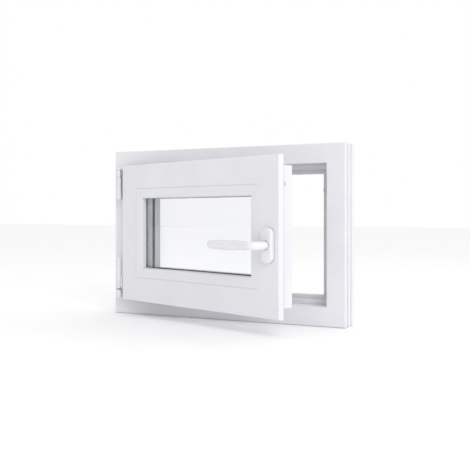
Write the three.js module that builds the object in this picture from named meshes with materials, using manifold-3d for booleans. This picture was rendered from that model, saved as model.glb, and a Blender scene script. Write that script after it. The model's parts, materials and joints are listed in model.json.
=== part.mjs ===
// Tilt-and-turn casement window of white PVC profiles, hinged on the left.
// Millimetres. +X to the right seen from the room, -Y into the room, +Z up.
// The origin is the middle of the sill's bottom face, halfway through the frame.

import * as THREE from 'three';
import { mergeVertices } from 'three/addons/utils/BufferGeometryUtils.js';
import Module from 'manifold-3d';

const wasm = await Module();
wasm.setup();

// ---------------------------------------------------------------- driving sizes

// Outer frame.
const FRAME_WIDTH = 600;
const FRAME_HEIGHT = 400;
const FRAME_DEPTH = 60;
const FRAME_FACE = 43; // width of the room-side face
const LIP_HEIGHT = 22; // how far the outdoor lip stands in from the rebate
const LIP_DEPTH = 16.5;
const GROOVE_DEPTH = 3; // clip grooves round the outside
const WALL = 2.8; // outer wall of a PVC profile

// Sash.
const FACE_OVERLAP = 6; // the sash covers this much of the frame's face
const OVERLAP_GAP = 4; // between the covering leg and the frame's face
const LEG_THICKNESS = 14.5;
const LEG_LENGTH = 19; // the leg stands this far out from the sash body
const SASH_OFF_LIP = 3.5; // sash body to the outdoor lip
const BEAD_LINE = 57; // sash edge to the joint of the glazing bead
const REBATE_LINE = 61; // sash edge to the floor of the glazing rebate
const SIGHT_LINE = 81; // sash edge to the edge of the visible glass
const WEATHER_LEG = 15; // outdoor leg that the glass is bedded on
const LEG_ROUNDING = 3;

// Glazing.
const PANE = 4;
const GLASS_UNIT = 24;
const GLASS_BED = 3; // glazing seal between glass and leg
const BEAD_SEAL = 3.1; // glazing seal between glass and bead
const GLASS_COVER = 15; // how far the unit reaches in behind the sight line
const BEAD_SLOPE = 6.5; // width of the sloped edge of the bead

// Hardware groove round the sash body.
const PLATE_WIDTH = 15.4;
const PLATE_THICKNESS = 1.5;
const GROOVE_BEHIND_LEG = 12; // back of the leg to the middle of the groove
const ROD_GROOVE_WIDTH = 12;
const ROD_GROOVE_DEPTH = 9;
const ROD_WIDTH = 10;
const ROD_THICKNESS = 3;
const CAM_RADIUS = 4.2;
const CAM_STEM = 2.6;
const CAM_REACH = 8.5; // above the face plate

// Hinge line.
const HINGE_FROM_SASH = 13; // sash edge to the axis
const HINGE_BEHIND_FACE = -0.5; // the axis stands this far in front of the sash face
const BARREL = 6.4;
const HINGE_PIN = 2.4;
const REST_OPENING = 19.6; // degrees that the sash stands open
const LOWER_BAND_LENGTH = 103; // sash's bottom edge to the top of the lower cover
const UPPER_BAND_LENGTH = 83; // sash's top edge down to the bottom of the upper cover

// Handle.
const HANDLE_FROM_EDGE = 27.4;
const HANDLE_HEIGHT = 183.5;
const HANDLE_STANDOFF = 46; // sash face to the middle of the lever
const HANDLE_LENGTH = 130;
const NECK_RADIUS = 8.5;
const LEVER_THICKNESS = 13;
const LEVER_WAIST = 8.2; // half height of the lever at its ends
const LEVER_BELLY = 10.4; // half height of the lever at its middle
const ROSE_WIDTH = 30;
const ROSE_HEIGHT = 71;
const ROSE_DEPTH = 10;
const SPINDLE = 7;
const PINION_TEETH = 10;
const PINION_PITCH_RADIUS = 5;

// Fits.
const GAP = 0.3; // pieces that lie against each other
const RUNNING = 0.35; // a pin in its bore
const STEEL_CLEARANCE = 1.2; // reinforcement in its chamber

// ---------------------------------------------------------------- worked out

const HALF_WIDTH = FRAME_WIDTH / 2;
const ROOM_FACE = -FRAME_DEPTH / 2;
const LIP_FRONT = FRAME_DEPTH / 2 - LIP_DEPTH;
const REBATE_HALF_WIDTH = HALF_WIDTH - FRAME_FACE;

const SASH_MARGIN = FRAME_FACE - FACE_OVERLAP;
const SASH_WIDTH = FRAME_WIDTH - 2 * SASH_MARGIN;
const SASH_HEIGHT = FRAME_HEIGHT - 2 * SASH_MARGIN;
const SASH_HALF = SASH_WIDTH / 2;
const LEG_BACK = ROOM_FACE - OVERLAP_GAP;
const SASH_FACE = LEG_BACK - LEG_THICKNESS;
const SASH_BACK = LIP_FRONT - SASH_OFF_LIP;
const BODY_HALF = SASH_HALF - LEG_LENGTH;
const BODY_BOTTOM = SASH_MARGIN + LEG_LENGTH;
const BODY_TOP = FRAME_HEIGHT - BODY_BOTTOM;
const GROOVE_MIDDLE = LEG_BACK + GROOVE_BEHIND_LEG;

const GLASS_BACK = SASH_BACK - WEATHER_LEG - GLASS_BED;
const GLASS_FRONT = GLASS_BACK - GLASS_UNIT;
const GLASS_EDGE = SIGHT_LINE - GLASS_COVER;
const BEAD_BACK = GLASS_FRONT - BEAD_SEAL - 2 * GAP;

const HINGE_X = -SASH_HALF - HINGE_FROM_SASH;
const HINGE_Y = SASH_FACE + HINGE_BEHIND_FACE;
const HANDLE_X = SASH_HALF - HANDLE_FROM_EDGE;
const LOWER_BAND_TOP = SASH_MARGIN + LOWER_BAND_LENGTH;
const UPPER_BAND_BOTTOM = FRAME_HEIGHT - SASH_MARGIN - UPPER_BAND_LENGTH;
const BAND_TOP = FRAME_HEIGHT - SASH_MARGIN - 4;

// ---------------------------------------------------------------- materials

const finish = (color, roughness, metalness = 0) => ({ color, roughness, metalness });
const PVC = finish(0xf1f2f5, 0.35);
const WHITE_NYLON = finish(0xeeeff2, 0.42);
const WHITE_LACQUER = finish(0xf3f4f6, 0.22);
const GREY_RUBBER = finish(0xc6c7cb, 0.75);
const GALVANISED = finish(0xb4b8bd, 0.5, 0.9);
const ZINC = finish(0xc9ccd1, 0.3, 0.95);
const ALUMINIUM = finish(0xbfc4c9, 0.35, 0.9);
const SEALANT = finish(0x1f2124, 0.7);
const GLASS = finish(0xeaf3f3, 0.04);
const BLOCK = finish(0x4d7fa8, 0.55);

// ---------------------------------------------------------------- helpers

function addPiece(parent, name, geometry, look) {
  const piece = new THREE.Mesh(geometry, new THREE.MeshStandardMaterial(look));
  piece.name = name;
  parent.add(piece);
  return piece;
}

function solid(geometry) {
  const bare = geometry.clone();
  bare.deleteAttribute('normal');
  bare.deleteAttribute('uv');
  const merged = mergeVertices(bare, 1e-4);
  return new wasm.Manifold(new wasm.Mesh({
    numProp: 3,
    vertProperties: new Float32Array(merged.attributes.position.array),
    triVerts: new Uint32Array(merged.index.array),
  }));
}

function surface(body) {
  const mesh = body.getMesh();
  const geometry = new THREE.BufferGeometry();
  geometry.setAttribute('position', new THREE.BufferAttribute(mesh.vertProperties, 3));
  geometry.setIndex(new THREE.BufferAttribute(mesh.triVerts, 1));
  geometry.computeVertexNormals();
  return geometry;
}

const join = (geometries) => surface(geometries.map(solid).reduce((a, b) => a.add(b)));

const cut = (geometry, tools) => (
  surface(tools.map(solid).reduce((a, b) => a.subtract(b), solid(geometry)))
);

const common = (a, b) => surface(solid(a).intersect(solid(b)));

function block(x0, x1, y0, y1, z0, z1) {
  const geometry = new THREE.BoxGeometry(x1 - x0, y1 - y0, z1 - z0);
  return geometry.translate((x0 + x1) / 2, (y0 + y1) / 2, (z0 + z1) / 2);
}

function outline(points) {
  return new THREE.Shape(points.map(([a, b]) => new THREE.Vector2(a, b)));
}

const rectangle = (a0, a1, b0, b1) => outline([[a0, b0], [a1, b0], [a1, b1], [a0, b1]]);

function roundedRectangle(a0, a1, b0, b1, radius) {
  const shape = new THREE.Shape();
  shape.absarc(a1 - radius, b0 + radius, radius, -Math.PI / 2, 0);
  shape.absarc(a1 - radius, b1 - radius, radius, 0, Math.PI / 2);
  shape.absarc(a0 + radius, b1 - radius, radius, Math.PI / 2, Math.PI);
  shape.absarc(a0 + radius, b0 + radius, radius, Math.PI, 1.5 * Math.PI);
  return shape;
}

// An outline drawn in X and Y, raised from z0 to z1.
function raise(shape, z0, z1, curveSegments = 6) {
  const geometry = new THREE.ExtrudeGeometry(shape, { depth: z1 - z0, bevelEnabled: false, curveSegments });
  return geometry.translate(0, 0, z0);
}

// An outline drawn in X and Z, pushed from y0 to y1.
function push(shape, y0, y1, curveSegments = 6) {
  const geometry = new THREE.ExtrudeGeometry(shape, { depth: y1 - y0, bevelEnabled: false, curveSegments });
  return geometry.rotateX(Math.PI / 2).translate(0, y1, 0);
}

function roundZ(x, y, radius, z0, z1, sides = 20) {
  const geometry = new THREE.CylinderGeometry(radius, radius, z1 - z0, sides);
  return geometry.rotateX(Math.PI / 2).translate(x, y, (z0 + z1) / 2);
}

function roundY(x, z, radius, y0, y1, sides = 20) {
  return new THREE.CylinderGeometry(radius, radius, y1 - y0, sides).translate(x, (y0 + y1) / 2, z);
}

function roundX(y, z, radius, x0, x1, sides = 20) {
  const geometry = new THREE.CylinderGeometry(radius, radius, x1 - x0, sides);
  return geometry.rotateZ(Math.PI / 2).translate((x0 + x1) / 2, y, z);
}

// A straight bar with its section in U (inwards from the outer edge) and V (the
// depth, +Y), cut at 45 degrees at both ends when mitred, square otherwise.
function bar(section, length, { mitred = true, trim = GAP / 2, curveSegments = 3 } = {}) {
  const geometry = new THREE.ExtrudeGeometry(section, { depth: 1, bevelEnabled: false, curveSegments });
  const place = geometry.attributes.position;
  for (let i = 0; i < place.count; i += 1) {
    const inset = (mitred ? place.getX(i) : 0) + trim;
    place.setZ(i, place.getZ(i) < 0.5 ? inset : length - inset);
  }
  return geometry;
}

// Places a bar on one side of a rectangle: 0 left, 1 top, 2 right, 3 bottom.
function onSide(geometry, side, halfWidth, bottom, top) {
  const corner = [
    [-halfWidth, bottom],
    [-halfWidth, top],
    [halfWidth, top],
    [halfWidth, bottom],
  ][side];
  return geometry.rotateY(side * Math.PI / 2).translate(corner[0], 0, corner[1]);
}

// A flat ring between two distances from the edge of a rectangle.
function flatRing(halfWidth, bottom, top, outer, inner, y0, y1) {
  const shape = rectangle(-halfWidth + outer, halfWidth - outer, bottom + outer, top - outer);
  shape.holes.push(rectangle(-halfWidth + inner, halfWidth - inner, bottom + inner, top - inner));
  return push(shape, y0, y1);
}

const SIDES = ['left', 'top', 'right', 'bottom'];

// ---------------------------------------------------------------- outer frame

// Clip grooves round the outside, as the depths where each starts and ends.
const GROOVES = [11, 33].map((behindFace) => [ROOM_FACE + behindFace, ROOM_FACE + behindFace + 10]);
const STEEL_CHAMBER = { u0: 7, u1: FRAME_FACE - WALL - 2, v0: ROOM_FACE + 9.5, v1: LIP_FRONT - 5 };

function frameSection() {
  const outer = [];
  for (const [from, to] of GROOVES) {
    outer.push([0, from], [GROOVE_DEPTH, from], [GROOVE_DEPTH, to], [0, to]);
  }
  const back = FRAME_DEPTH / 2;
  const tip = FRAME_FACE + LIP_HEIGHT;
  const edge = [[0, back], [tip - 1, back], [tip, back - 1], [tip, LIP_FRONT + 1], [tip - 1, LIP_FRONT]];
  const rebate = [[FRAME_FACE, LIP_FRONT], [FRAME_FACE, ROOM_FACE + 1], [FRAME_FACE - 1, ROOM_FACE]];
  const shape = outline([[1.5, ROOM_FACE], [0, ROOM_FACE + 1.5], ...outer, ...edge, ...rebate]);
  const inside = FRAME_FACE - WALL;
  shape.holes.push(rectangle(WALL, inside, ROOM_FACE + WALL, ROOM_FACE + 8));
  const { u0, u1, v0, v1 } = STEEL_CHAMBER;
  shape.holes.push(rectangle(u0, u1, v0, v1));
  shape.holes.push(rectangle(WALL, tip - WALL, LIP_FRONT + WALL, back - WALL));
  return shape;
}

function steelTube({ u0, u1, v0, v1 }, wall = 1.5) {
  const c = STEEL_CLEARANCE;
  const shape = rectangle(u0 + c, u1 - c, v0 + c, v1 - c);
  shape.holes.push(rectangle(u0 + c + wall, u1 - c - wall, v0 + c + wall, v1 - c - wall));
  return shape;
}

const FRAME_NAMES = ['frame_jamb_left', 'frame_head', 'frame_jamb_right', 'frame_sill'];
const DRAIN_SLOTS = [-FRAME_WIDTH / 4, FRAME_WIDTH / 4];
const DRAIN_LENGTH = 28;

function drainSlots() {
  return DRAIN_SLOTS.map((x) => {
    const shape = roundedRectangle(x - DRAIN_LENGTH / 2, x + DRAIN_LENGTH / 2, 6, 11, 2.4);
    return push(shape, FRAME_DEPTH / 2 - 2 * WALL, FRAME_DEPTH / 2 + 1);
  });
}

function buildFrame(parent) {
  const lengths = [FRAME_HEIGHT, FRAME_WIDTH, FRAME_HEIGHT, FRAME_WIDTH];
  const place = (geometry, side) => onSide(geometry, side, HALF_WIDTH, 0, FRAME_HEIGHT);
  FRAME_NAMES.forEach((name, side) => {
    let geometry = place(bar(frameSection(), lengths[side]), side);
    if (name === 'frame_sill') geometry = cut(geometry, drainSlots());
    addPiece(parent, name, geometry, PVC);
    const steel = bar(steelTube(STEEL_CHAMBER), lengths[side], { mitred: false, trim: FRAME_FACE + 4 });
    addPiece(parent, `frame_steel_${SIDES[side]}`, place(steel, side), GALVANISED);
  });
  const tip = FRAME_FACE + LIP_HEIGHT;
  const seal = flatRing(HALF_WIDTH, 0, FRAME_HEIGHT, tip - 9, tip - 0.6, SASH_BACK + GAP, LIP_FRONT - 0.05);
  addPiece(parent, 'frame_seal', seal, GREY_RUBBER);
}

// ---------------------------------------------------------------- locking points

// Where each cam stands along its rod with the handle level.
const SIDE_CAM_HEIGHT = BODY_TOP - 38;
const TOP_CAM_X = FRAME_WIDTH / 5;
const TILT_CAM_X = FRAME_WIDTH / 4;
const CAM_TRAVEL = PINION_PITCH_RADIUS * Math.PI / 2;

const STRIKER_BASE = 2;
const STRIKER_LENGTH = 44;
const HOOK_SHORT_OF_SASH = 6; // the hook stops this far from the sash body
const HOOK_THICKNESS = 2.8;
const HOOK_FRONT = GROOVE_MIDDLE - CAM_RADIUS - 0.5 - HOOK_THICKNESS;
const HOOK_START = CAM_RADIUS + 0.4; // clear of a cam with the handle level
const HOOK_END = CAM_TRAVEL + CAM_RADIUS;
const STRIKER_SCREWS = 16;

// A striker drawn along +Z on a face at X = 0, the sash towards -X. The hook
// reaches to the cam's side given by the signs in hooks.
function strikerPlate(hooks) {
  const reach = REBATE_HALF_WIDTH - BODY_HALF - HOOK_SHORT_OF_SASH;
  const half = STRIKER_LENGTH / 2;
  const back = GROOVE_MIDDLE + CAM_RADIUS + 3;
  const pieces = [block(-STRIKER_BASE, 0, HOOK_FRONT, back, -half, half)];
  for (const sign of hooks) {
    const [z0, z1] = [sign * HOOK_START, sign * HOOK_END].sort((a, b) => a - b);
    pieces.push(block(-reach, -STRIKER_BASE / 2, HOOK_FRONT, HOOK_FRONT + HOOK_THICKNESS, z0, z1));
  }
  const holes = [-STRIKER_SCREWS, STRIKER_SCREWS].map((z) => roundX(GROOVE_MIDDLE, z, 1.8, -9, 1, 12));
  return cut(join(pieces), holes);
}

function buildStrikers(parent) {
  const face = GAP / 2;
  const side = strikerPlate([-1]).translate(REBATE_HALF_WIDTH - face, 0, SIDE_CAM_HEIGHT);
  addPiece(parent, 'striker_side', side, ZINC);
  const head = FRAME_HEIGHT - FRAME_FACE - face;
  const top = strikerPlate([-1]).rotateY(-Math.PI / 2).translate(TOP_CAM_X, 0, head);
  addPiece(parent, 'striker_top', top, ZINC);
  const tilt = strikerPlate([-1, 1]).rotateY(Math.PI / 2).translate(TILT_CAM_X, 0, FRAME_FACE + face);
  addPiece(parent, 'striker_tilt', tilt, ZINC);
}

// ---------------------------------------------------------------- hinges on the frame

const LEAF_THICKNESS = 2.8;
const LEAF_LEFT = -HALF_WIDTH + 4;
const LEAF_RIGHT = HINGE_X - 1;
const CORNER_BEARING = { bottom: SASH_MARGIN + 3, top: SASH_MARGIN + 22 };
const COVER_WALL = 1.2;
const KNUCKLE = BARREL - COVER_WALL - GAP;
const ARM_KNUCKLE = { bottom: BODY_TOP - 8, top: BODY_TOP + 9.3 };

// Leaf on the frame's face, with a web out to a barrel on the hinge line.
function bearing(leafBottom, leafTop, barrelBottom, barrelTop, radius) {
  const leafBack = ROOM_FACE - GAP;
  return join([
    block(LEAF_LEFT, LEAF_RIGHT, leafBack - LEAF_THICKNESS, leafBack, leafBottom, leafTop),
    block(HINGE_X - radius + 0.6, HINGE_X - 1, HINGE_Y, leafBack - 0.4, barrelBottom, barrelTop),
    roundZ(HINGE_X, HINGE_Y, radius, barrelBottom, barrelTop, 24),
  ]);
}

function buildFrameHinges(parent) {
  const { bottom, top } = CORNER_BEARING;
  const bore = HINGE_PIN + RUNNING;
  const corner = bearing(bottom - 3, top + 2, bottom, top, BARREL);
  const cornerBore = roundZ(HINGE_X, HINGE_Y, bore, bottom + 4, top + 1);
  addPiece(parent, 'corner_bearing', cut(corner, [cornerBore]), WHITE_LACQUER);

  const stayBottom = UPPER_BAND_BOTTOM + 1.5;
  const stayTop = ARM_KNUCKLE.bottom - 0.5;
  const stay = bearing(UPPER_BAND_BOTTOM + 4, BAND_TOP - 2, stayBottom, stayTop, KNUCKLE);
  const stayBore = roundZ(HINGE_X, HINGE_Y, bore, UPPER_BAND_BOTTOM, stayTop + 1);
  addPiece(parent, 'stay_bearing', cut(stay, [stayBore]), WHITE_LACQUER);

  const pin = roundZ(HINGE_X, HINGE_Y, HINGE_PIN, stayBottom + 1, BAND_TOP - 2);
  addPiece(parent, 'stay_pin', pin, ZINC);

  const sleeve = roundZ(HINGE_X, HINGE_Y, BARREL, UPPER_BAND_BOTTOM, stayTop, 24);
  const hollow = roundZ(HINGE_X, HINGE_Y, KNUCKLE + GAP, UPPER_BAND_BOTTOM + COVER_WALL, stayTop + 1, 24);
  const slotBottom = UPPER_BAND_BOTTOM - 1;
  const slot = block(HINGE_X - KNUCKLE, HINGE_X, HINGE_Y, HINGE_Y + BARREL + 1, slotBottom, stayTop + 1);
  addPiece(parent, 'stay_bearing_cover', cut(sleeve, [hollow, slot]), WHITE_NYLON);

  const cap = roundZ(HINGE_X, HINGE_Y, BARREL, ARM_KNUCKLE.top + 0.5, BAND_TOP, 24);
  const capBore = roundZ(HINGE_X, HINGE_Y, HINGE_PIN + GAP, ARM_KNUCKLE.top, BAND_TOP - 1.5);
  addPiece(parent, 'stay_pin_cap', cut(cap, [capBore]), WHITE_NYLON);
}

// ---------------------------------------------------------------- sash profiles

const SASH_STEEL_CHAMBER = {
  u0: LEG_LENGTH + ROD_GROOVE_DEPTH + 3,
  u1: BEAD_LINE - 3,
  v0: LEG_BACK + 1,
  v1: SASH_BACK - 4,
};

function sashSection() {
  const plateDepth = PLATE_THICKNESS + 2 * GAP;
  const plateHalf = PLATE_WIDTH / 2 + GAP;
  const rodHalf = ROD_GROOVE_WIDTH / 2;
  const floor = LEG_LENGTH + ROD_GROOVE_DEPTH;
  const groove = [
    [LEG_LENGTH, GROOVE_MIDDLE - plateHalf],
    [LEG_LENGTH + plateDepth, GROOVE_MIDDLE - plateHalf],
    [LEG_LENGTH + plateDepth, GROOVE_MIDDLE - rodHalf],
    [floor, GROOVE_MIDDLE - rodHalf],
    [floor, GROOVE_MIDDLE + rodHalf],
    [LEG_LENGTH + plateDepth, GROOVE_MIDDLE + rodHalf],
    [LEG_LENGTH + plateDepth, GROOVE_MIDDLE + plateHalf],
    [LEG_LENGTH, GROOVE_MIDDLE + plateHalf],
  ];
  const weather = SASH_BACK - WEATHER_LEG;
  const r = LEG_ROUNDING;
  const shape = new THREE.Shape();
  shape.moveTo(BEAD_LINE, SASH_FACE);
  shape.lineTo(r, SASH_FACE);
  shape.absarc(r, SASH_FACE + r, r, -Math.PI / 2, -Math.PI, true);
  const rest = [
    [0, LEG_BACK - 1],
    [1, LEG_BACK],
    [LEG_LENGTH, LEG_BACK],
    ...groove,
    [LEG_LENGTH, SASH_BACK],
    [SIGHT_LINE, SASH_BACK],
    [SIGHT_LINE, weather],
    [REBATE_LINE, weather],
    [REBATE_LINE, BEAD_BACK + GAP],
    [BEAD_LINE, BEAD_BACK + GAP],
  ];
  for (const [u, v] of rest) shape.lineTo(u, v);
  shape.closePath();
  const { u0, u1, v0, v1 } = SASH_STEEL_CHAMBER;
  shape.holes.push(rectangle(u0, u1, v0, v1));
  shape.holes.push(rectangle(WALL + 1, BEAD_LINE - WALL, SASH_FACE + WALL, LEG_BACK - WALL));
  shape.holes.push(rectangle(REBATE_LINE, SIGHT_LINE - WALL, weather + WALL, SASH_BACK - WALL));
  return shape;
}

function beadSection() {
  const u0 = BEAD_LINE + GAP;
  const front = SASH_FACE + GAP;
  return outline([
    [u0, front],
    [u0, BEAD_BACK],
    [SIGHT_LINE, BEAD_BACK],
    [SIGHT_LINE, front + 4.5],
    [SIGHT_LINE - BEAD_SLOPE * 0.3, front + 1.6],
    [SIGHT_LINE - BEAD_SLOPE, front],
  ]);
}

const SASH_NAMES = ['sash_stile_hinge', 'sash_rail_top', 'sash_stile_lock', 'sash_rail_bottom'];
const onSash = (geometry, side) => (
  onSide(geometry, side, SASH_HALF, SASH_MARGIN, FRAME_HEIGHT - SASH_MARGIN)
);
const sashRing = (outer, inner, y0, y1) => (
  flatRing(SASH_HALF, SASH_MARGIN, FRAME_HEIGHT - SASH_MARGIN, outer, inner, y0, y1)
);

// Gearbox, as half length and the depths it takes behind the sash face.
const GEARBOX_HALF = 28.5;
const GEAR_FRONT = GROOVE_MIDDLE - 12.5;
const GEAR_BACK = GEAR_FRONT + 3.7;
const BOX_FRONT = GEAR_FRONT - 6.5;
const BOX_INNER_X = HANDLE_X - 13.5;
const HUB_RADIUS = 5.8;
const HANDLE_SCREW_SPACING = 43;
const HANDLE_SCREW = 2.4;

function lockStileCuts() {
  const edge = BODY_HALF - PLATE_THICKNESS - 2 * GAP;
  const half = GEARBOX_HALF + 1;
  const front = BOX_FRONT - 1;
  const [low, high] = [HANDLE_HEIGHT - half, HANDLE_HEIGHT + half];
  const pocket = block(BOX_INNER_X - 1, edge, front, GROOVE_MIDDLE, low, high);
  const spindleHole = roundY(HANDLE_X, HANDLE_HEIGHT, HUB_RADIUS + 0.6, SASH_FACE - 1, front + 1);
  const screwHoles = [-0.5, 0.5].map((side) => {
    const height = HANDLE_HEIGHT + side * HANDLE_SCREW_SPACING;
    return roundY(HANDLE_X, height, HANDLE_SCREW + GAP, SASH_FACE - 1, front + 1, 12);
  });
  return [pocket, spindleHole, ...screwHoles];
}

const STAY_REACH = 200; // hinge line to the pin of the stay arm
const STAY_PIN = 2.5;
const STAY_X = HINGE_X + STAY_REACH;
const STAY_TRAVEL = 14;

function buildSashProfiles(parent) {
  const lengths = [SASH_HEIGHT, SASH_WIDTH, SASH_HEIGHT, SASH_WIDTH];
  SASH_NAMES.forEach((name, side) => {
    let geometry = onSash(bar(sashSection(), lengths[side]), side);
    if (name === 'sash_stile_lock') geometry = cut(geometry, lockStileCuts());
    addPiece(parent, name, geometry, PVC);

    let steel = onSash(
      bar(steelTube(SASH_STEEL_CHAMBER), lengths[side], { mitred: false, trim: BEAD_LINE + 4 }),
      side,
    );
    if (name === 'sash_stile_lock') steel = cut(steel, lockStileCuts().slice(0, 1));
    addPiece(parent, `sash_steel_${SIDES[side]}`, steel, GALVANISED);

    const bead = onSash(bar(beadSection(), lengths[side]), side);
    addPiece(parent, `glazing_bead_${SIDES[side]}`, bead, PVC);
  });
}

// ---------------------------------------------------------------- glazing

function buildGlazing(parent) {
  const half = SASH_HALF - GLASS_EDGE;
  const bottom = SASH_MARGIN + GLASS_EDGE;
  const top = FRAME_HEIGHT - bottom;
  const pane = (front) => block(-half, half, front, front + PANE, bottom, top);
  addPiece(parent, 'glass_pane_inner', pane(GLASS_FRONT), GLASS);
  addPiece(parent, 'glass_pane_outer', pane(GLASS_BACK - PANE), GLASS);

  const between = [GLASS_FRONT + PANE + GAP, GLASS_BACK - PANE - GAP];
  addPiece(parent, 'glass_spacer', sashRing(GLASS_EDGE + 4, GLASS_EDGE + 11.5, ...between), ALUMINIUM);
  addPiece(parent, 'glass_edge_seal', sashRing(GLASS_EDGE + 0.5, GLASS_EDGE + 3.7, ...between), SEALANT);

  const innerSeal = sashRing(REBATE_LINE + 8, SIGHT_LINE - 0.4, BEAD_BACK + GAP, GLASS_FRONT - GAP);
  addPiece(parent, 'glazing_seal_inner', innerSeal, GREY_RUBBER);
  const bed = [GLASS_BACK + GAP, SASH_BACK - WEATHER_LEG - GAP];
  addPiece(parent, 'glazing_seal_outer', sashRing(REBATE_LINE + 8, SIGHT_LINE - 0.4, ...bed), GREY_RUBBER);

  const blockHalf = 30;
  const floor = SASH_MARGIN + REBATE_LINE;
  [['left', -1], ['right', 1]].forEach(([name, sign]) => {
    const middle = sign * half * 0.66;
    const piece = block(
      middle - blockHalf, middle + blockHalf, GLASS_FRONT, GLASS_BACK, floor + GAP, bottom - GAP,
    );
    addPiece(parent, `setting_block_${name}`, piece, BLOCK);
  });
}

// ---------------------------------------------------------------- hinges on the sash

const BAND_PLATE = { y0: LEG_BACK + 0.7, y1: ROOM_FACE - 0.7 };
const LOWER_PLATE = { bottom: SASH_MARGIN + 29, top: SASH_MARGIN + 59 };
const LOWER_BAND_BOTTOM = CORNER_BEARING.top + 4.6;

// Plate that passes between the covering leg and the frame, from a knuckle on
// the hinge line to the rebate.
function bandPlate(bottom, top, right, radius) {
  const { y0, y1 } = BAND_PLATE;
  const clear = -SASH_HALF - 1.5;
  return [
    block(HINGE_X + 2, clear, HINGE_Y, y1, bottom, top),
    block(HINGE_X + 2, right, y0, y1, bottom, top),
    roundZ(HINGE_X, HINGE_Y, radius, bottom, top, 24),
  ];
}

// Opening in a hinge cover where the plate passes out of it.
function plateSlot(bottom, top) {
  const outside = BARREL + 1;
  return block(HINGE_X + 1.5, HINGE_X + outside, HINGE_Y - 0.5, HINGE_Y + outside, bottom, top);
}

function buildSashHinge(parent) {
  const fixing = -BODY_HALF - GAP;
  const { bottom, top } = LOWER_PLATE;
  const band = join([
    ...bandPlate(bottom, top, fixing, KNUCKLE),
    block(fixing - 2.5, fixing, BAND_PLATE.y0, GROOVE_MIDDLE + 6, bottom, top + 30),
    roundZ(HINGE_X, HINGE_Y, KNUCKLE, LOWER_BAND_BOTTOM, LOWER_BAND_TOP - 3, 24),
  ]);
  const bore = roundZ(HINGE_X, HINGE_Y, KNUCKLE - 0.5, LOWER_BAND_BOTTOM - 1, LOWER_BAND_BOTTOM + 6);
  addPiece(parent, 'corner_band', cut(band, [bore]), WHITE_LACQUER);

  const cover = roundZ(HINGE_X, HINGE_Y, BARREL, LOWER_BAND_BOTTOM, LOWER_BAND_TOP, 24);
  const below = LOWER_BAND_BOTTOM - 1;
  const hollow = roundZ(HINGE_X, HINGE_Y, KNUCKLE + GAP, below, LOWER_BAND_TOP - COVER_WALL, 24);
  addPiece(parent, 'corner_band_cover', cut(cover, [hollow, plateSlot(below, top + 0.5)]), WHITE_NYLON);
}

function buildPivot(parent) {
  const { bottom, top } = CORNER_BEARING;
  const pivot = join([
    roundZ(HINGE_X, HINGE_Y, HINGE_PIN, bottom + 4.5, LOWER_BAND_BOTTOM + 1.6),
    roundZ(HINGE_X, HINGE_Y, BARREL - 1.6, top + 0.4, top + 3, 24),
  ]);
  addPiece(parent, 'pivot_pin', pivot, ZINC);
}

function buildStayArm(parent) {
  const { bottom, top } = ARM_KNUCKLE;
  const stripBottom = top - 3;
  const stripLeft = -BODY_HALF - 8;
  const arm = join([
    ...bandPlate(bottom, top, stripLeft + 3, KNUCKLE),
    block(stripLeft, stripLeft + 8, BAND_PLATE.y0, GROOVE_MIDDLE + 6, stripBottom, top),
    block(stripLeft, STAY_X, GROOVE_MIDDLE - 4, GROOVE_MIDDLE + 6, stripBottom, top),
    roundZ(STAY_X, GROOVE_MIDDLE + 1, 5, stripBottom, top, 16),
    roundZ(STAY_X, GROOVE_MIDDLE + 1, STAY_PIN, BODY_TOP - 1, top, 16),
  ]);
  const bore = roundZ(HINGE_X, HINGE_Y, HINGE_PIN + RUNNING, bottom - 1, top + 1);
  addPiece(parent, 'stay_arm', cut(arm, [bore]), ZINC);

  // The cover is open where the arm's plate comes out of it.
  const sleeve = roundZ(HINGE_X, HINGE_Y, BARREL, bottom, top, 24);
  const hollow = roundZ(HINGE_X, HINGE_Y, KNUCKLE + GAP, bottom - 1, top + 1, 24);
  addPiece(parent, 'stay_arm_cover', cut(sleeve, [hollow, plateSlot(bottom - 1, top + 1)]), WHITE_NYLON);
}

// ---------------------------------------------------------------- sash seal

function buildSashSeal(parent) {
  const ring = sashRing(1.5, 7.5, LEG_BACK + 0.1, LEG_BACK + 2.4);
  const [left, right] = [-SASH_HALF, -SASH_HALF + 12];
  const between = [LOWER_PLATE.top + 1.5, ARM_KNUCKLE.bottom - 1.5];
  const opening = block(left, right, LEG_BACK, ROOM_FACE, LOWER_PLATE.bottom - 3, ARM_KNUCKLE.top + 2);
  addPiece(parent, 'sash_seal', cut(ring, [opening]), GREY_RUBBER);
  const middle = common(ring, block(left, right, LEG_BACK, ROOM_FACE, ...between));
  addPiece(parent, 'sash_seal_hinge_side', middle, GREY_RUBBER);
}

// ---------------------------------------------------------------- face plates and rods

const SLOT_HALF = CAM_TRAVEL + CAM_STEM + 1;
const PLATE_END = 14; // face plate stops this far from the sash body's corner
const ROD_SHORT = 16; // rod stops this far from the end of its face plate
const ROD_PAST_CAM = 60;

// A face plate drawn along +Z with its outer face at X = 0, slotted at the
// given heights. Each slot is [middle, half length, half width].
function facePlate(z0, z1, slots) {
  const half = PLATE_WIDTH / 2;
  const [y0, y1] = [GROOVE_MIDDLE - half, GROOVE_MIDDLE + half];
  const plate = block(-PLATE_THICKNESS, 0, y0, y1, z0, z1);
  const tools = slots.map(([middle, length, width]) => (
    block(-9, 9, GROOVE_MIDDLE - width, GROOVE_MIDDLE + width, middle - length, middle + length)
  ));
  return cut(plate, tools);
}

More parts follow.
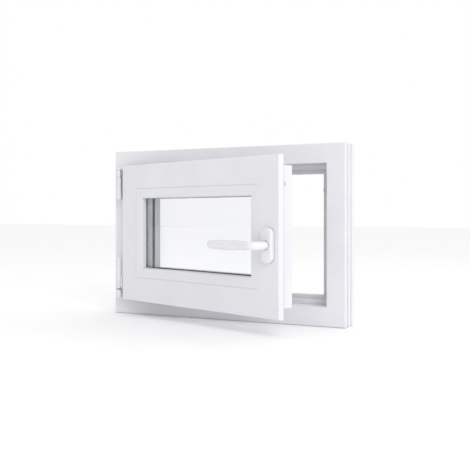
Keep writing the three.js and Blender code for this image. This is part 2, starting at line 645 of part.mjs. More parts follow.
// Drawn like the face plate: a flat rod behind it with one mushroom cam.
function driveRod(z0, z1, camAt) {
  const back = -PLATE_THICKNESS - GAP;
  const half = ROD_WIDTH / 2;
  return [
    block(back - ROD_THICKNESS, back, GROOVE_MIDDLE - half, GROOVE_MIDDLE + half, z0, z1),
    roundX(GROOVE_MIDDLE, camAt, CAM_STEM, back - 1, CAM_REACH - 1, 16),
    roundX(GROOVE_MIDDLE, camAt, CAM_RADIUS, CAM_REACH - 6, CAM_REACH, 20),
  ];
}

const camSlot = (middle) => [middle, SLOT_HALF, CAM_STEM + 0.4];

// Teeth cut as straight-flanked stubs, thinned for backlash.
const TOOTH = { pitch: 2 * Math.PI * PINION_PITCH_RADIUS / PINION_TEETH, tip: 0.7, root: 1.0 };
const TOOTH_HALF = { tip: 0.3, root: 0.78 };

function pinionOutline() {
  const points = [];
  const inner = PINION_PITCH_RADIUS - TOOTH.root;
  const outer = PINION_PITCH_RADIUS + TOOTH.tip;
  for (let i = 0; i < PINION_TEETH; i += 1) {
    const angle = (i * 2 * Math.PI) / PINION_TEETH;
    const { tip, root } = TOOTH_HALF;
    const corners = [[inner, -root], [outer, -tip], [outer, tip], [inner, root]];
    for (const [radius, offset] of corners) {
      const turn = angle + offset / radius;
      points.push([HANDLE_X + radius * Math.cos(turn), HANDLE_HEIGHT + radius * Math.sin(turn)]);
    }
  }
  return outline(points);
}

function rackOutline() {
  const pitchLine = HANDLE_X - PINION_PITCH_RADIUS;
  const [tip, root] = [pitchLine + TOOTH.tip, pitchLine - TOOTH.root];
  const teeth = 8;
  const points = [[root - 3, HANDLE_HEIGHT - 17], [root, HANDLE_HEIGHT - 17]];
  for (let i = 0; i < teeth; i += 1) {
    const z = HANDLE_HEIGHT + (i - teeth / 2 + 0.5) * TOOTH.pitch;
    points.push([root, z - TOOTH_HALF.root], [tip, z - TOOTH_HALF.tip]);
    points.push([tip, z + TOOTH_HALF.tip], [root, z + TOOTH_HALF.root]);
  }
  points.push([root, HANDLE_HEIGHT + 17], [root - 3, HANDLE_HEIGHT + 17]);
  return outline(points);
}

function buildSideRod(parent) {
  const rodBack = BODY_HALF - PLATE_THICKNESS - GAP - ROD_THICKNESS;
  const rackLeft = HANDLE_X - PINION_PITCH_RADIUS - TOOTH.root - 3;
  const bridgeY = GEAR_BACK + 0.6;
  const bridgeHalf = 9;
  const [z0, z1] = [HANDLE_HEIGHT - bridgeHalf, HANDLE_HEIGHT + bridgeHalf];
  const rod = driveRod(BODY_BOTTOM + 34, BODY_TOP - 22, SIDE_CAM_HEIGHT);
  rod.forEach((piece) => piece.translate(BODY_HALF, 0, 0));
  const rack = push(rackOutline(), GEAR_FRONT + 0.8, bridgeY + 2);
  const teethRelief = block(rackLeft + 3.1, BODY_HALF, GEAR_BACK, bridgeY, z0 - 20, z1 + 20);
  const bridge = block(rackLeft, rodBack + 2, bridgeY, GROOVE_MIDDLE - 2, z0, z1);
  addPiece(parent, 'drive_rod_side', join([...rod, cut(rack, [teethRelief]), bridge]), ZINC);
}

function buildLocking(parent) {
  const [low, high] = [BODY_BOTTOM + PLATE_END, BODY_TOP - PLATE_END];
  const side = facePlate(low, high, [camSlot(SIDE_CAM_HEIGHT)]).translate(BODY_HALF, 0, 0);
  addPiece(parent, 'face_plate_side', side, ZINC);
  buildSideRod(parent);

  // The top plate is drawn along -X. Its hinge end guides the pin of the stay arm.
  const toTop = (geometry) => geometry.rotateY(-Math.PI / 2).translate(0, 0, BODY_TOP);
  const end = BODY_HALF - PLATE_END;
  const guideSlot = [-STAY_X, STAY_TRAVEL, STAY_PIN + 1.7];
  const top = facePlate(-end, end, [guideSlot, camSlot(-TOP_CAM_X)]);
  addPiece(parent, 'face_plate_top', toTop(top), ZINC);
  const topRod = join(driveRod(-end + ROD_SHORT, ROD_PAST_CAM - TOP_CAM_X, -TOP_CAM_X));
  addPiece(parent, 'drive_rod_top', toTop(topRod), ZINC);

  const toBottom = (geometry) => geometry.rotateY(Math.PI / 2).translate(0, 0, BODY_BOTTOM);
  const bottom = facePlate(TILT_CAM_X - 2 * ROD_PAST_CAM, end, [camSlot(TILT_CAM_X)]);
  addPiece(parent, 'face_plate_bottom', toBottom(bottom), ZINC);
  const bottomRod = join(driveRod(TILT_CAM_X - ROD_PAST_CAM, end - ROD_SHORT, TILT_CAM_X));
  addPiece(parent, 'drive_rod_bottom', toBottom(bottomRod), ZINC);
}

// ---------------------------------------------------------------- gearbox and handle

// Square bar on the handle's axis, for the spindle and its sockets.
function squareBar(half, y0, y1) {
  const [x, z] = [HANDLE_X, HANDLE_HEIGHT];
  return block(x - half, x + half, y0, y1, z - half, z + half);
}

function buildGearbox(parent) {
  const z0 = HANDLE_HEIGHT - GEARBOX_HALF;
  const z1 = HANDLE_HEIGHT + GEARBOX_HALF;
  const right = BODY_HALF - PLATE_THICKNESS - 3 * GAP;
  const shell = block(BOX_INNER_X, right, BOX_FRONT, GEAR_BACK, z0, z1);
  const room = block(BOX_INNER_X + 1.6, right + 1, BOX_FRONT + 1.6, GEAR_BACK + 1, z0 + 1.6, z1 - 1.6);
  const hole = roundY(HANDLE_X, HANDLE_HEIGHT, HUB_RADIUS + RUNNING, BOX_FRONT - 1, BOX_FRONT + 3);
  const [low, high] = [HANDLE_HEIGHT - 8, HANDLE_HEIGHT + 8];
  const mouth = block(right - 3, right + 1, BOX_FRONT - 1, BOX_FRONT + 3, low, high);
  addPiece(parent, 'gearbox_housing', cut(shell, [room, hole, mouth]), GALVANISED);

  const hub = roundY(HANDLE_X, HANDLE_HEIGHT, HUB_RADIUS, BOX_FRONT + 0.4, GEAR_FRONT + 0.5, 24);
  const square = squareBar(SPINDLE / 2 + GAP, BOX_FRONT - 1, GEAR_FRONT - 0.8);
  const teeth = push(pinionOutline(), GEAR_FRONT, GEAR_BACK);
  addPiece(parent, 'drive_pinion', cut(join([hub, teeth]), [square]), ZINC);
}

function roseOutline(margin) {
  const [w, h] = [ROSE_WIDTH / 2 - margin, ROSE_HEIGHT / 2 - margin];
  return roundedRectangle(HANDLE_X - w, HANDLE_X + w, HANDLE_HEIGHT - h, HANDLE_HEIGHT + h, w - 2);
}

function buildRose(parent) {
  const back = SASH_FACE - GAP;
  const baseFront = back - 4.5;
  const screwAt = [['lower', -1], ['upper', 1]].map(([name, sign]) => (
    [name, HANDLE_HEIGHT + (sign * HANDLE_SCREW_SPACING) / 2]
  ));
  const base = push(roseOutline(2.2), baseFront, back);
  const holes = screwAt.map(([, z]) => (
    roundY(HANDLE_X, z, HANDLE_SCREW + GAP, baseFront - 1, back + 1, 12)
  ));
  const middle = roundY(HANDLE_X, HANDLE_HEIGHT, HUB_RADIUS + 0.6, baseFront - 1, back + 1);
  addPiece(parent, 'rose_base', cut(base, [middle, ...holes]), WHITE_NYLON);

  const front = back - ROSE_DEPTH;
  const cover = new THREE.ExtrudeGeometry(roseOutline(3), {
    depth: ROSE_DEPTH - 3.2, bevelThickness: 3.2, bevelSize: 3, bevelSegments: 3, curveSegments: 6,
  });
  cover.rotateX(Math.PI / 2).translate(0, back, 0);
  const trimmed = common(cover, block(HANDLE_X - 40, HANDLE_X + 40, front - 1, back, 0, FRAME_HEIGHT));
  const room = push(roseOutline(1.9), front + 3, back + 1);
  const neck = roundY(HANDLE_X, HANDLE_HEIGHT, NECK_RADIUS + RUNNING, front - 1, back + 1, 24);
  addPiece(parent, 'rose_cover', cut(trimmed, [room, neck]), WHITE_LACQUER);

  for (const [name, z] of screwAt) {
    const screw = join([
      roundY(HANDLE_X, z, HANDLE_SCREW, baseFront - 0.5, BOX_FRONT - 1.5, 12),
      roundY(HANDLE_X, z, 4.3, baseFront - 2, baseFront - GAP, 16),
    ]);
    addPiece(parent, `handle_screw_${name}`, screw, ZINC);
  }
}

function leverPlan() {
  const front = SASH_FACE - HANDLE_STANDOFF - LEVER_THICKNESS / 2;
  const back = front + LEVER_THICKNESS;
  const bend = 20;
  const tip = HANDLE_X - HANDLE_LENGTH;
  const shape = new THREE.Shape();
  shape.moveTo(HANDLE_X + NECK_RADIUS, back + 8);
  shape.lineTo(HANDLE_X + NECK_RADIUS, front + bend);
  shape.quadraticCurveTo(HANDLE_X + NECK_RADIUS, front, HANDLE_X + NECK_RADIUS - bend, front);
  shape.lineTo(tip + 8, front + 2);
  shape.quadraticCurveTo(tip, front + 2.4, tip, front + 6.5);
  shape.quadraticCurveTo(tip, back - 1.6, tip + 8, back - 1.2);
  shape.lineTo(HANDLE_X - NECK_RADIUS - 10, back);
  shape.quadraticCurveTo(HANDLE_X - NECK_RADIUS, back, HANDLE_X - NECK_RADIUS, back + 8);
  return shape;
}

function leverFront() {
  const tip = HANDLE_X - HANDLE_LENGTH;
  const middle = HANDLE_X - HANDLE_LENGTH * 0.55;
  const end = HANDLE_X + NECK_RADIUS + 1;
  const [low, high] = [HANDLE_HEIGHT - LEVER_WAIST, HANDLE_HEIGHT + LEVER_WAIST];
  const bulge = 2 * (LEVER_BELLY - LEVER_WAIST);
  const shape = new THREE.Shape();
  shape.moveTo(end, low);
  shape.lineTo(end, high);
  shape.lineTo(HANDLE_X, high);
  shape.quadraticCurveTo(middle, high + bulge, tip + 9, high);
  shape.quadraticCurveTo(tip, high - 1, tip, HANDLE_HEIGHT);
  shape.quadraticCurveTo(tip, low + 1, tip + 9, low);
  shape.quadraticCurveTo(middle, low - bulge, HANDLE_X, low);
  return shape;
}

function buildHandle(parent) {
  const neckBack = SASH_FACE - GAP - 4.5 - GAP;
  const [low, high] = [HANDLE_HEIGHT - 20, HANDLE_HEIGHT + 20];
  const grip = common(raise(leverPlan(), low, high, 8), push(leverFront(), -FRAME_WIDTH, 0, 8));
  const neckFront = SASH_FACE - HANDLE_STANDOFF;
  const neck = roundY(HANDLE_X, HANDLE_HEIGHT, NECK_RADIUS, neckFront, neckBack, 24);
  const square = squareBar(SPINDLE / 2 + GAP, neckBack - 14, neckBack + 1);
  addPiece(parent, 'handle_lever', cut(join([grip, neck]), [square]), WHITE_LACQUER);

  const spindle = squareBar(SPINDLE / 2, neckBack - 13, GEAR_FRONT - 1.2);
  addPiece(parent, 'handle_spindle', spindle, GALVANISED);
}

// ---------------------------------------------------------------- assembly

const casementWindow = new THREE.Group();
buildFrame(casementWindow);
buildStrikers(casementWindow);
buildFrameHinges(casementWindow);

// Everything that turns with the sash is drawn shut, then turned open.
const hingeLine = new THREE.Group();
hingeLine.position.set(HINGE_X, HINGE_Y, 0);
hingeLine.rotation.z = THREE.MathUtils.degToRad(-REST_OPENING);
casementWindow.add(hingeLine);
const sash = new THREE.Group();
sash.position.set(-HINGE_X, -HINGE_Y, 0);
hingeLine.add(sash);

buildPivot(sash);
buildStayArm(sash);
buildSashProfiles(sash);
buildGlazing(sash);
buildSashHinge(sash);
buildSashSeal(sash);
buildLocking(sash);
buildGearbox(sash);
buildRose(sash);
buildHandle(sash);

export default casementWindow;
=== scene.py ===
"""Looks of a white PVC tilt-and-turn casement window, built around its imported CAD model.

Pieces that belong to the sash are drawn shut, with the window's own X across and Z up, and are
then turned open about the hinge line. Lengths are in metres; mm() turns millimetres into metres.
"""

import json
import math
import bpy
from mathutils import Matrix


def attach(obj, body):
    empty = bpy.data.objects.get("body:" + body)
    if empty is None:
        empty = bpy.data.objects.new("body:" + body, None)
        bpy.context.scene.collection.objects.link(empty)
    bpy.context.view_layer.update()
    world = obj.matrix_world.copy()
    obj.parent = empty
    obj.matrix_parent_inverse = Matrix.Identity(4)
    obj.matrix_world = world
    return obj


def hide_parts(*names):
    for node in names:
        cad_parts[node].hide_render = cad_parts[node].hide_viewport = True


bl_info = {
    "name": "Tilt-and-Turn Casement Window",
    "version": (1, 0, 0),
    "blender": (4, 5, 0),
    "location": "3D View > Sidebar > Casement Window",
    "description": "Dresses the CAD model of a PVC casement window with finished pieces and materials",
    "category": "Object",
}

import bmesh
import bpy
from mathutils import Matrix, Vector

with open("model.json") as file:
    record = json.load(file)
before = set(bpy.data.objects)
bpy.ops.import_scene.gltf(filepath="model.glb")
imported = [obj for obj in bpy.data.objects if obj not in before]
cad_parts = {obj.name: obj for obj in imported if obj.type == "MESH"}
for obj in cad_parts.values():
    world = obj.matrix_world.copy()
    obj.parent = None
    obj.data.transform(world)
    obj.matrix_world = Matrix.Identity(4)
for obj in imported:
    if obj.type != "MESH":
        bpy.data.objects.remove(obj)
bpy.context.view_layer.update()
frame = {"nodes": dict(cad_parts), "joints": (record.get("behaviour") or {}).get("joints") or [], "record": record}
NODES = frame["nodes"]
JOINTS = {joint["name"]: joint for joint in frame["joints"]}
BODY_OF = {node: body for body, nodes in frame["record"]["behaviour"]["bodies"].items() for node in nodes}


def mm(*lengths):
    """Millimetres as metres: one number, or a list of them."""
    scaled = [length / 1000.0 for length in lengths]
    return scaled[0] if len(scaled) == 1 else scaled


# ------------------------------ where the sash is

HINGE = Vector(JOINTS["sash_turn"]["pos_m"])
SASH_ACROSS = Vector(JOINTS["sash_tilt"]["axis"])
OPEN_ANGLE = math.atan2(SASH_ACROSS.y, SASH_ACROSS.x)
ABOUT_HINGE = Matrix.Translation(Vector((HINGE.x, HINGE.y, 0.0)))
SHUT_TO_REST = ABOUT_HINGE @ Matrix.Rotation(OPEN_ANGLE, 4, "Z") @ ABOUT_HINGE.inverted()
REST_TO_SHUT = SHUT_TO_REST.inverted()
HANDLE_AT = REST_TO_SHUT @ Vector(JOINTS["handle_turn"]["pos_m"])
UPRIGHT = Matrix.Identity(4)


def placing(node):
    """The turn that takes a node's drawing place to its place at rest."""
    return UPRIGHT if BODY_OF[node] == "frame" else SHUT_TO_REST


def drawn_box(node):
    """Lowest and highest corner of a CAD node in its drawing place."""
    back = placing(node).inverted()
    corners = [back @ vertex.co for vertex in NODES[node].data.vertices]
    low = Vector([min(corner[axis] for corner in corners) for axis in range(3)])
    high = Vector([max(corner[axis] for corner in corners) for axis in range(3)])
    return low, high


# ------------------------------ material tools

def linear(hex_colour):
    """A colour written as sRGB hex, as the linear RGBA that nodes take."""
    channels = [int(hex_colour[place:place + 2], 16) / 255.0 for place in (1, 3, 5)]
    return [c / 12.92 if c <= 0.04045 else ((c + 0.055) / 1.055) ** 2.4 for c in channels] + [1.0]


def add(tree, kind, sockets=None, **settings):
    """Adds a node. sockets maps an input's name or index to a value, a node or (node, output)."""
    node = tree.nodes.new(kind)
    for name, value in settings.items():
        setattr(node, name, value)
    for name, value in (sockets or {}).items():
        source = (value, 0) if isinstance(value, bpy.types.Node) else value
        if isinstance(source, tuple) and isinstance(source[0], bpy.types.Node):
            tree.links.new(source[0].outputs[source[1]], node.inputs[name])
        else:
            node.inputs[name].default_value = value
    return node


def per_mm(feature):
    """Texture scale at which one feature is that many millimetres across."""
    return 1000.0 / feature


# A noise of even mottling. Its value lies mostly between the two From limits.
MOTTLE = {"Detail": 3.0, "Roughness": 0.55}
MOTTLE_LIMITS = {"From Min": 0.3, "From Max": 0.7}
# How far open to the air a spot is between full painted shade and none: corners and gaps are painted darker where
# shade falls.
PAINTED_SHADE_RAMP = {"From Min": 0.25, "From Max": 0.75, "To Min": 1.0, "To Max": 0.0}
# A pattern is squeezed this much along the bar that it is drawn out on.
DRAWN_OUT = 0.02


def make_finish(name, spec, run=None, turned=False):
    """Builds one material: patchy colour, painted shade that darkens its corners and gaps, uneven gloss and a fine
    relief.
    """
    material = bpy.data.materials.new(name)
    material.use_nodes = True
    tree = material.node_tree
    tree.nodes.clear()
    place = (add(tree, "ShaderNodeTexCoord"), "Object")
    angle = -OPEN_ANGLE if turned else 0.0
    squeeze = [DRAWN_OUT if axis == run else 1.0 for axis in "xyz"]
    square = add(tree, "ShaderNodeMapping", {"Vector": place, "Rotation": (0.0, 0.0, angle)})
    drawn = add(tree, "ShaderNodeMapping", {"Vector": square, "Scale": squeeze})
    patches = {"Vector": place, "Scale": per_mm(spec["patch_mm"]), **MOTTLE}
    patchy = {"Value": add(tree, "ShaderNodeTexNoise", patches), **MOTTLE_LIMITS}
    tints = {0: add(tree, "ShaderNodeMapRange", patchy), 6: linear(spec["light"]), 7: linear(spec["dark"])}
    colour = (add(tree, "ShaderNodeMix", tints, data_type="RGBA"), 2)
    # Painted shade: an ambient occlusion mask blends the colour towards a darker tint in corners and gaps, where
    # shade falls.
    if "painted_shade" in spec:
        corners = add(tree, "ShaderNodeAmbientOcclusion", {"Distance": mm(spec["painted_shade_mm"])}, samples=6)
        amount = add(tree, "ShaderNodeMapRange", {"Value": (corners, "AO"), **PAINTED_SHADE_RAMP})
        painted_shade_mix = {0: amount, 6: colour, 7: linear(spec["painted_shade"])}
        colour = (add(tree, "ShaderNodeMix", painted_shade_mix, data_type="RGBA"), 2)
    if "spangle" in spec:
        cells = {"Vector": place, "Scale": per_mm(spec["spangle_mm"])}
        crystal = (add(tree, "ShaderNodeTexVoronoi", cells), "Color")
        tone = add(tree, "ShaderNodeSeparateColor", {"Color": crystal})
        colour = (add(tree, "ShaderNodeMix", {0: tone, 6: colour, 7: linear(spec["spangle"])},
                      data_type="RGBA"), 2)
    rubbed = {"Vector": drawn, "Scale": per_mm(spec["gloss_mm"]), **MOTTLE}
    dull, glossy = spec["roughness"][1], spec["roughness"][0]
    uneven = {"Value": add(tree, "ShaderNodeTexNoise", rubbed), "To Min": glossy, "To Max": dull}
    gloss = add(tree, "ShaderNodeMapRange", {**uneven, **MOTTLE_LIMITS})
    grain = {"Vector": drawn, "Scale": per_mm(spec["grain_mm"]), **MOTTLE, "Detail": 4.0}
    relief = {"Height": add(tree, "ShaderNodeTexNoise", grain), "Distance": mm(spec["relief_mm"])}
    normal = add(tree, "ShaderNodeBump", {**relief, "Strength": spec.get("bump", 0.35)})
    sockets = {"Base Color": colour, "Roughness": gloss, "Normal": normal, **spec["shader"]}
    shader = add(tree, "ShaderNodeBsdfPrincipled", sockets)
    add(tree, "ShaderNodeOutputMaterial", {"Surface": shader})
    return material


# Each finish names the real material, how its surface was made and what that gives the eye.
# A finish's darker corner tint and its reach in millimetres are painted shade: they darken corners and gaps where
# shade falls.
FINISHES = {
    # Rigid PVC, extruded: even white, half gloss, faint die lines along the bar.
    "white_pvc": dict(
        light="#EAEAED", dark="#E5E5EA", patch_mm=70, painted_shade="#CFCFD5", painted_shade_mm=4, grain_mm=0.9,
        gloss_mm=6, roughness=(0.30, 0.40), relief_mm=0.05, shader={"IOR": 1.54, "Metallic": 0.0},
    ),
    # Polyamide, injection moulded and lightly eroded: soft white, a little duller than the bars.
    "white_nylon": dict(
        light="#E6E6EA", dark="#DFDFE4", patch_mm=15, painted_shade="#B5B6BC", painted_shade_mm=3, grain_mm=0.5,
        gloss_mm=3, roughness=(0.38, 0.48), relief_mm=0.04, shader={"IOR": 1.53, "Metallic": 0.0},
    ),
    # Die-cast zinc under powder coat: smooth white with orange peel under a clear gloss.
    "white_lacquer": dict(
        light="#ECECEF", dark="#E6E6EA", patch_mm=25, painted_shade="#BCBDC3", painted_shade_mm=3, grain_mm=1.6,
        gloss_mm=4, roughness=(0.20, 0.28), relief_mm=0.06,
        shader={"IOR": 1.5, "Metallic": 0.0, "Coat Weight": 0.35, "Coat Roughness": 0.08},
    ),
    # Thermoplastic elastomer, extruded: light grey, matt, with a waxy bloom.
    "grey_rubber": dict(
        light="#D6D7DA", dark="#D0D1D5", patch_mm=12, painted_shade="#B9BABF", painted_shade_mm=2, grain_mm=0.4,
        gloss_mm=5, roughness=(0.55, 0.72), relief_mm=0.05, shader={"IOR": 1.5, "Metallic": 0.0},
    ),
    # EPDM rubber, extruded: dark grey glazing gasket, matt with a faint skin of talc.
    "glazing_rubber": dict(
        light="#6F7276", dark="#616468", patch_mm=10, painted_shade="#54575B", painted_shade_mm=2, grain_mm=0.4,
        gloss_mm=4, roughness=(0.6, 0.75), relief_mm=0.05, shader={"IOR": 1.5, "Metallic": 0.0},
    ),
    # Hot-dip galvanised steel strip: grey crystals of zinc, half dull.
    "galvanised_steel": dict(
        light="#B9BDC2", dark="#A5AAB0", patch_mm=20, grain_mm=0.8, gloss_mm=5,
        roughness=(0.38, 0.55), relief_mm=0.03, spangle_mm=7, spangle="#C8CCD0",
        shader={"Metallic": 1.0},
    ),
    # Zinc-plated steel, pressed and passivated: bright, drawn along its length by the rolling.
    "zinc_plated_steel": dict(
        light="#CDD0D5", dark="#BCC0C6", patch_mm=9, painted_shade="#8C9096", painted_shade_mm=2, grain_mm=0.5,
        gloss_mm=3, roughness=(0.24, 0.38), relief_mm=0.03, shader={"Metallic": 1.0},
    ),
    # Aluminium spacer strip, roll formed: mill finish with fine rolling lines.
    "spacer_aluminium": dict(
        light="#C9CDD2", dark="#B8BDC3", patch_mm=14, grain_mm=0.5, gloss_mm=4,
        roughness=(0.28, 0.40), relief_mm=0.02, shader={"Metallic": 1.0},
    ),
    # Polysulphide edge sealant, trowelled: black and slightly uneven.
    "sealant": dict(
        light="#26282B", dark="#1B1D20", patch_mm=10, grain_mm=1.5, gloss_mm=4,
        roughness=(0.5, 0.7), relief_mm=0.2, bump=0.6, shader={"IOR": 1.6, "Metallic": 0.0},
    ),
    # Float glass: clear, with a trace of green and the long slow waves of the tin bath.
    "glass": dict(
        light="#FEFEFF", dark="#FCFDFE", patch_mm=160, grain_mm=90, gloss_mm=60,
        roughness=(0.0, 0.012), relief_mm=0.02, bump=0.05,
        shader={"IOR": 1.52, "Metallic": 0.0, "Transmission Weight": 1.0},
    ),
    # Polypropylene packer, moulded: blue, dull, with a leathery skin.
    "block_plastic": dict(
        light="#4D7FA8", dark="#45739A", patch_mm=12, grain_mm=0.7, gloss_mm=3,
        roughness=(0.45, 0.6), relief_mm=0.05, shader={"IOR": 1.49, "Metallic": 0.0},
    ),
}
MATERIALS = {}


def material_for(slot, run=None, turned=False):
    """The material of a slot, drawn along x, z or neither, made once and then shared."""
    ending = (f"_along_{run}" if run else "") + ("_sash" if turned else "")
    name = slot + ending
    if name not in MATERIALS:
        MATERIALS[name] = make_finish(name, FINISHES[slot], run, turned)
    return MATERIALS[name]


# ------------------------------ mesh tools

# An edge is rounded where its faces meet at more than this, and left alone where flatter.
ROUNDED_FROM = math.radians(35.0)
# How much the large faces outweigh the small ones in the shading of a rounded piece.
FLAT_FACE_WEIGHT = 80
# Corners of loose CAD triangles this near to each other are one corner.
SAME_CORNER = mm(0.01)
# A mitred end is found by its slant, as the share of its normal along the bar.
MITRE_SLANT = (0.6, 0.8)
# The CAD leaves this much between a mitred end and the line of the mitre.
MITRE_GAP = mm(0.15)


def plain_object(name, bm, turn=UPRIGHT):
    """A mesh object at the origin, with its drawing turned into place and its faces outwards."""
    bmesh.ops.recalc_face_normals(bm, faces=bm.faces)
    bm.transform(turn)
    mesh = bpy.data.meshes.new(name)
    bm.to_mesh(mesh)
    bm.free()
    piece = bpy.data.objects.new(name, mesh)
    bpy.context.scene.collection.objects.link(piece)
    return piece


def shade_smooth(piece, smooth=True):
    """Shades every face of a piece smooth or flat."""
    for polygon in piece.data.polygons:
        polygon.use_smooth = smooth


def quarter_turn(steps):
    """Cosine and sine at even steps from 0 to 90 degrees."""
    angles = [math.pi / 2 * step / steps for step in range(steps + 1)]
    return [(math.cos(angle), math.sin(angle)) for angle in angles]


def settle(piece):
    """Turns the modifiers into plain mesh."""
    bpy.context.view_layer.update()
    graph = bpy.context.evaluated_depsgraph_get()
    finished = bpy.data.meshes.new_from_object(piece.evaluated_get(graph), depsgraph=graph)
    piece.modifiers.clear()
    piece.data = finished
    return piece


def soften(piece, edge, segments=2, limit="ANGLE"):
    """Rounds sharp or weighted edges by that much, as a tool or a die leaves them."""
    shade_smooth(piece)
    bevel = piece.modifiers.new("edge", "BEVEL")
    bevel.width = edge
    bevel.segments = segments
    bevel.limit_method = limit
    bevel.angle_limit = ROUNDED_FROM
    flats = piece.modifiers.new("flats", "WEIGHTED_NORMAL")
    flats.mode = "FACE_AREA"
    flats.weight = FLAT_FACE_WEIGHT
    flats.keep_sharp = True
    return settle(piece)


def carve(piece, *tools):
    """Cuts the tool objects out of a piece and removes them."""
    for tool in tools:
        cutter = piece.modifiers.new("cut", "BOOLEAN")
        cutter.operation = "DIFFERENCE"
        cutter.object = tool
        cutter.solver = "EXACT"
        settle(piece)
        bpy.data.objects.remove(tool)
    return piece


def box_tool(low, high, turn=UPRIGHT):
    """A block between two corners, for cutting."""
    bm = bmesh.new()
    middle = (Vector(low) + Vector(high)) / 2
    size = Matrix.Diagonal((*(Vector(high) - Vector(low)), 1.0))
    bmesh.ops.create_cube(bm, size=1.0, matrix=Matrix.Translation(middle) @ size)
    return plain_object("tool", bm, turn)


def stitch(bm, loops, closed):
    """Skins rings of points, each with as many points as the next."""
    rings = [[bm.verts.new(point) for point in loop] for loop in loops]
    pairs = list(zip(rings, rings[1:])) + ([(rings[-1], rings[0])] if closed else [])
    for first, second in pairs:
        for index, vertex in enumerate(first):
            after = (index + 1) % len(first)
            bm.faces.new((vertex, first[after], second[after], second[index]))
    if not closed:
        bm.faces.new(rings[0])
        bm.faces.new(rings[-1])
    return bm


def lathe(name, profile, axis_at, turn, segments=56):
    """Turns a closed profile of (radius, height) about an upright axis."""
    bm = bmesh.new()
    loops = []
    for step in range(segments):
        angle = 2 * math.pi * step / segments
        out = Vector((math.cos(angle), math.sin(angle), 0.0))
        loops.append([Vector((axis_at.x, axis_at.y, height)) + out * radius for radius, height in profile])
    stitch(bm, loops, closed=True)
    bmesh.ops.remove_doubles(bm, verts=bm.verts, dist=mm(0.005))
    return plain_object(name, bm, turn)


def dress(piece, nodes, slot, run=None, finish=None):
    """Gives a piece its material and hands it to the frame in place of its CAD nodes."""
    turned = BODY_OF[nodes[0]] != "frame"
    piece.data.materials.clear()
    piece.data.materials.append(material_for(finish or slot, run, turned))
    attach(piece, BODY_OF[nodes[0]])
    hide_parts(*nodes)
    return piece


def merged_copy(node):
    """A CAD node's shape with its loose triangles merged and its flat faces joined."""
    bm = bmesh.new()
    bm.from_mesh(NODES[node].data)
    bmesh.ops.remove_doubles(bm, verts=bm.verts, dist=SAME_CORNER)
    bmesh.ops.dissolve_limit(bm, angle_limit=math.radians(0.5), verts=bm.verts, edges=bm.edges)
    return bm


def refine(node, slot, edge):
    """A finished piece on a CAD node's own shape, with its edges rounded."""
    piece = plain_object("finished_" + node, merged_copy(node))
    soften(piece, edge)
    return dress(piece, [node], slot)


def ground_pane(node, edge):
    """A pane with ground edges, its faces shaded dead flat."""
    piece = plain_object("finished_" + node, merged_copy(node))
    soften(piece, edge, segments=1)
    piece.data.attributes.remove(piece.data.attributes["custom_normal"])
    shade_smooth(piece, False)
    return dress(piece, [node], "glass")


def weld(bm, run, turn, closing):
    """Moves both mitred ends of a bar outwards, so that it meets its neighbours, and returns
    the points on those ends."""
    axis = "xyz".index(run)
    ends = set()
    bm.transform(turn.inverted())
    bm.normal_update()
    for face in bm.faces:
        slant = abs(face.normal[axis])
        if MITRE_SLANT[0] < slant < MITRE_SLANT[1] and abs(face.normal.y) < 0.1:
            ends.update(face.verts)
    middle = sum(vertex.co[axis] for vertex in bm.verts) / len(bm.verts)
    for vertex in ends:
        vertex.co[axis] += math.copysign(closing, vertex.co[axis] - middle)
    bm.transform(turn)
    return ends


def refine_bar(node, run, edge, closing):
    """A finished profile bar: mitres welded shut, long edges rounded, the weld left flush."""
    bm = merged_copy(node)
    ends = weld(bm, run, placing(node), closing)
    weight = bm.edges.layers.float.new("bevel_weight_edge")
    for bar_edge in bm.edges:
        sharp = bar_edge.is_manifold and bar_edge.calc_face_angle() > ROUNDED_FROM
        on_weld = bar_edge.verts[0] in ends and bar_edge.verts[1] in ends
        bar_edge[weight] = 1.0 if sharp and not on_weld else 0.0
        bar_edge.smooth = not (sharp and on_weld)
    piece = plain_object("finished_" + node, bm)
    soften(piece, edge, limit="WEIGHT")
    return dress(piece, [node], "white_pvc", run)


# ------------------------------ seals

# Profiles as shares of a seal's width (from its outer edge inwards) and depth (from the room).
BULB_PROFILE = [
    (0.10, 1.00), (0.88, 1.00), (0.95, 0.86), (1.00, 0.60), (0.97, 0.30), (0.86, 0.08), (0.66, 0.00),
    (0.46, 0.06), (0.28, 0.22), (0.14, 0.40), (0.02, 0.52), (0.00, 0.66), (0.04, 0.84),
]
LIP_PROFILE = [
    (0.06, 0.00), (0.60, 0.00), (0.80, 0.10), (0.92, 0.28), (0.99, 0.52), (1.00, 0.78), (0.95, 0.97),
    (0.86, 1.00), (0.80, 0.84), (0.74, 0.62), (0.62, 0.52), (0.40, 0.50), (0.22, 0.62), (0.04, 0.62),
    (0.00, 0.34),
]

# The lines of a seal that turn by more than this are shaded as corners.
SEAL_CORNER = math.radians(50.0)
# Where the sash's gasket parts: above the foot of the corner band and above the stay arm. Its
# lower end stands back from that line by the third length.
OFF_BAND, OFF_STAY, OFF_BOTTOM_RUN = mm(1.0, 2.0, 1.6)


def sweep(name, path, profile, width, near, far, closed, turn):
    """Draws a seal's profile along a path in X and Z. The path's right-hand side is inwards."""
    count = len(path)
    loops = []
    for index, (x, z) in enumerate(path):
        here = Vector((x, z))
        before = Vector(path[index - 1]) if closed or index > 0 else None
        after = Vector(path[(index + 1) % count]) if closed or index < count - 1 else None
        arriving = (here - before).normalized() if before else (after - here).normalized()
        leaving = (after - here).normalized() if after else arriving
        sides = [Vector((run.y, -run.x)) for run in (arriving, leaving)]
        mitre = (sides[0] + sides[1]).normalized()
        mitre /= mitre.dot(sides[0])
        loop = []
        for across, deep in profile:
            spot = here + mitre * (across * width)
            loop.append(Vector((spot.x, near + (far - near) * deep, spot.y)))
        loops.append(loop)
    piece = plain_object(name, stitch(bmesh.new(), loops, closed), turn)
    shade_smooth(piece)
    return piece


def rectangle_path(low, high):
    """The corners of a box's face, clockwise as seen from the room."""
    return [(low.x, low.z), (low.x, high.z), (high.x, high.z), (high.x, low.z)]


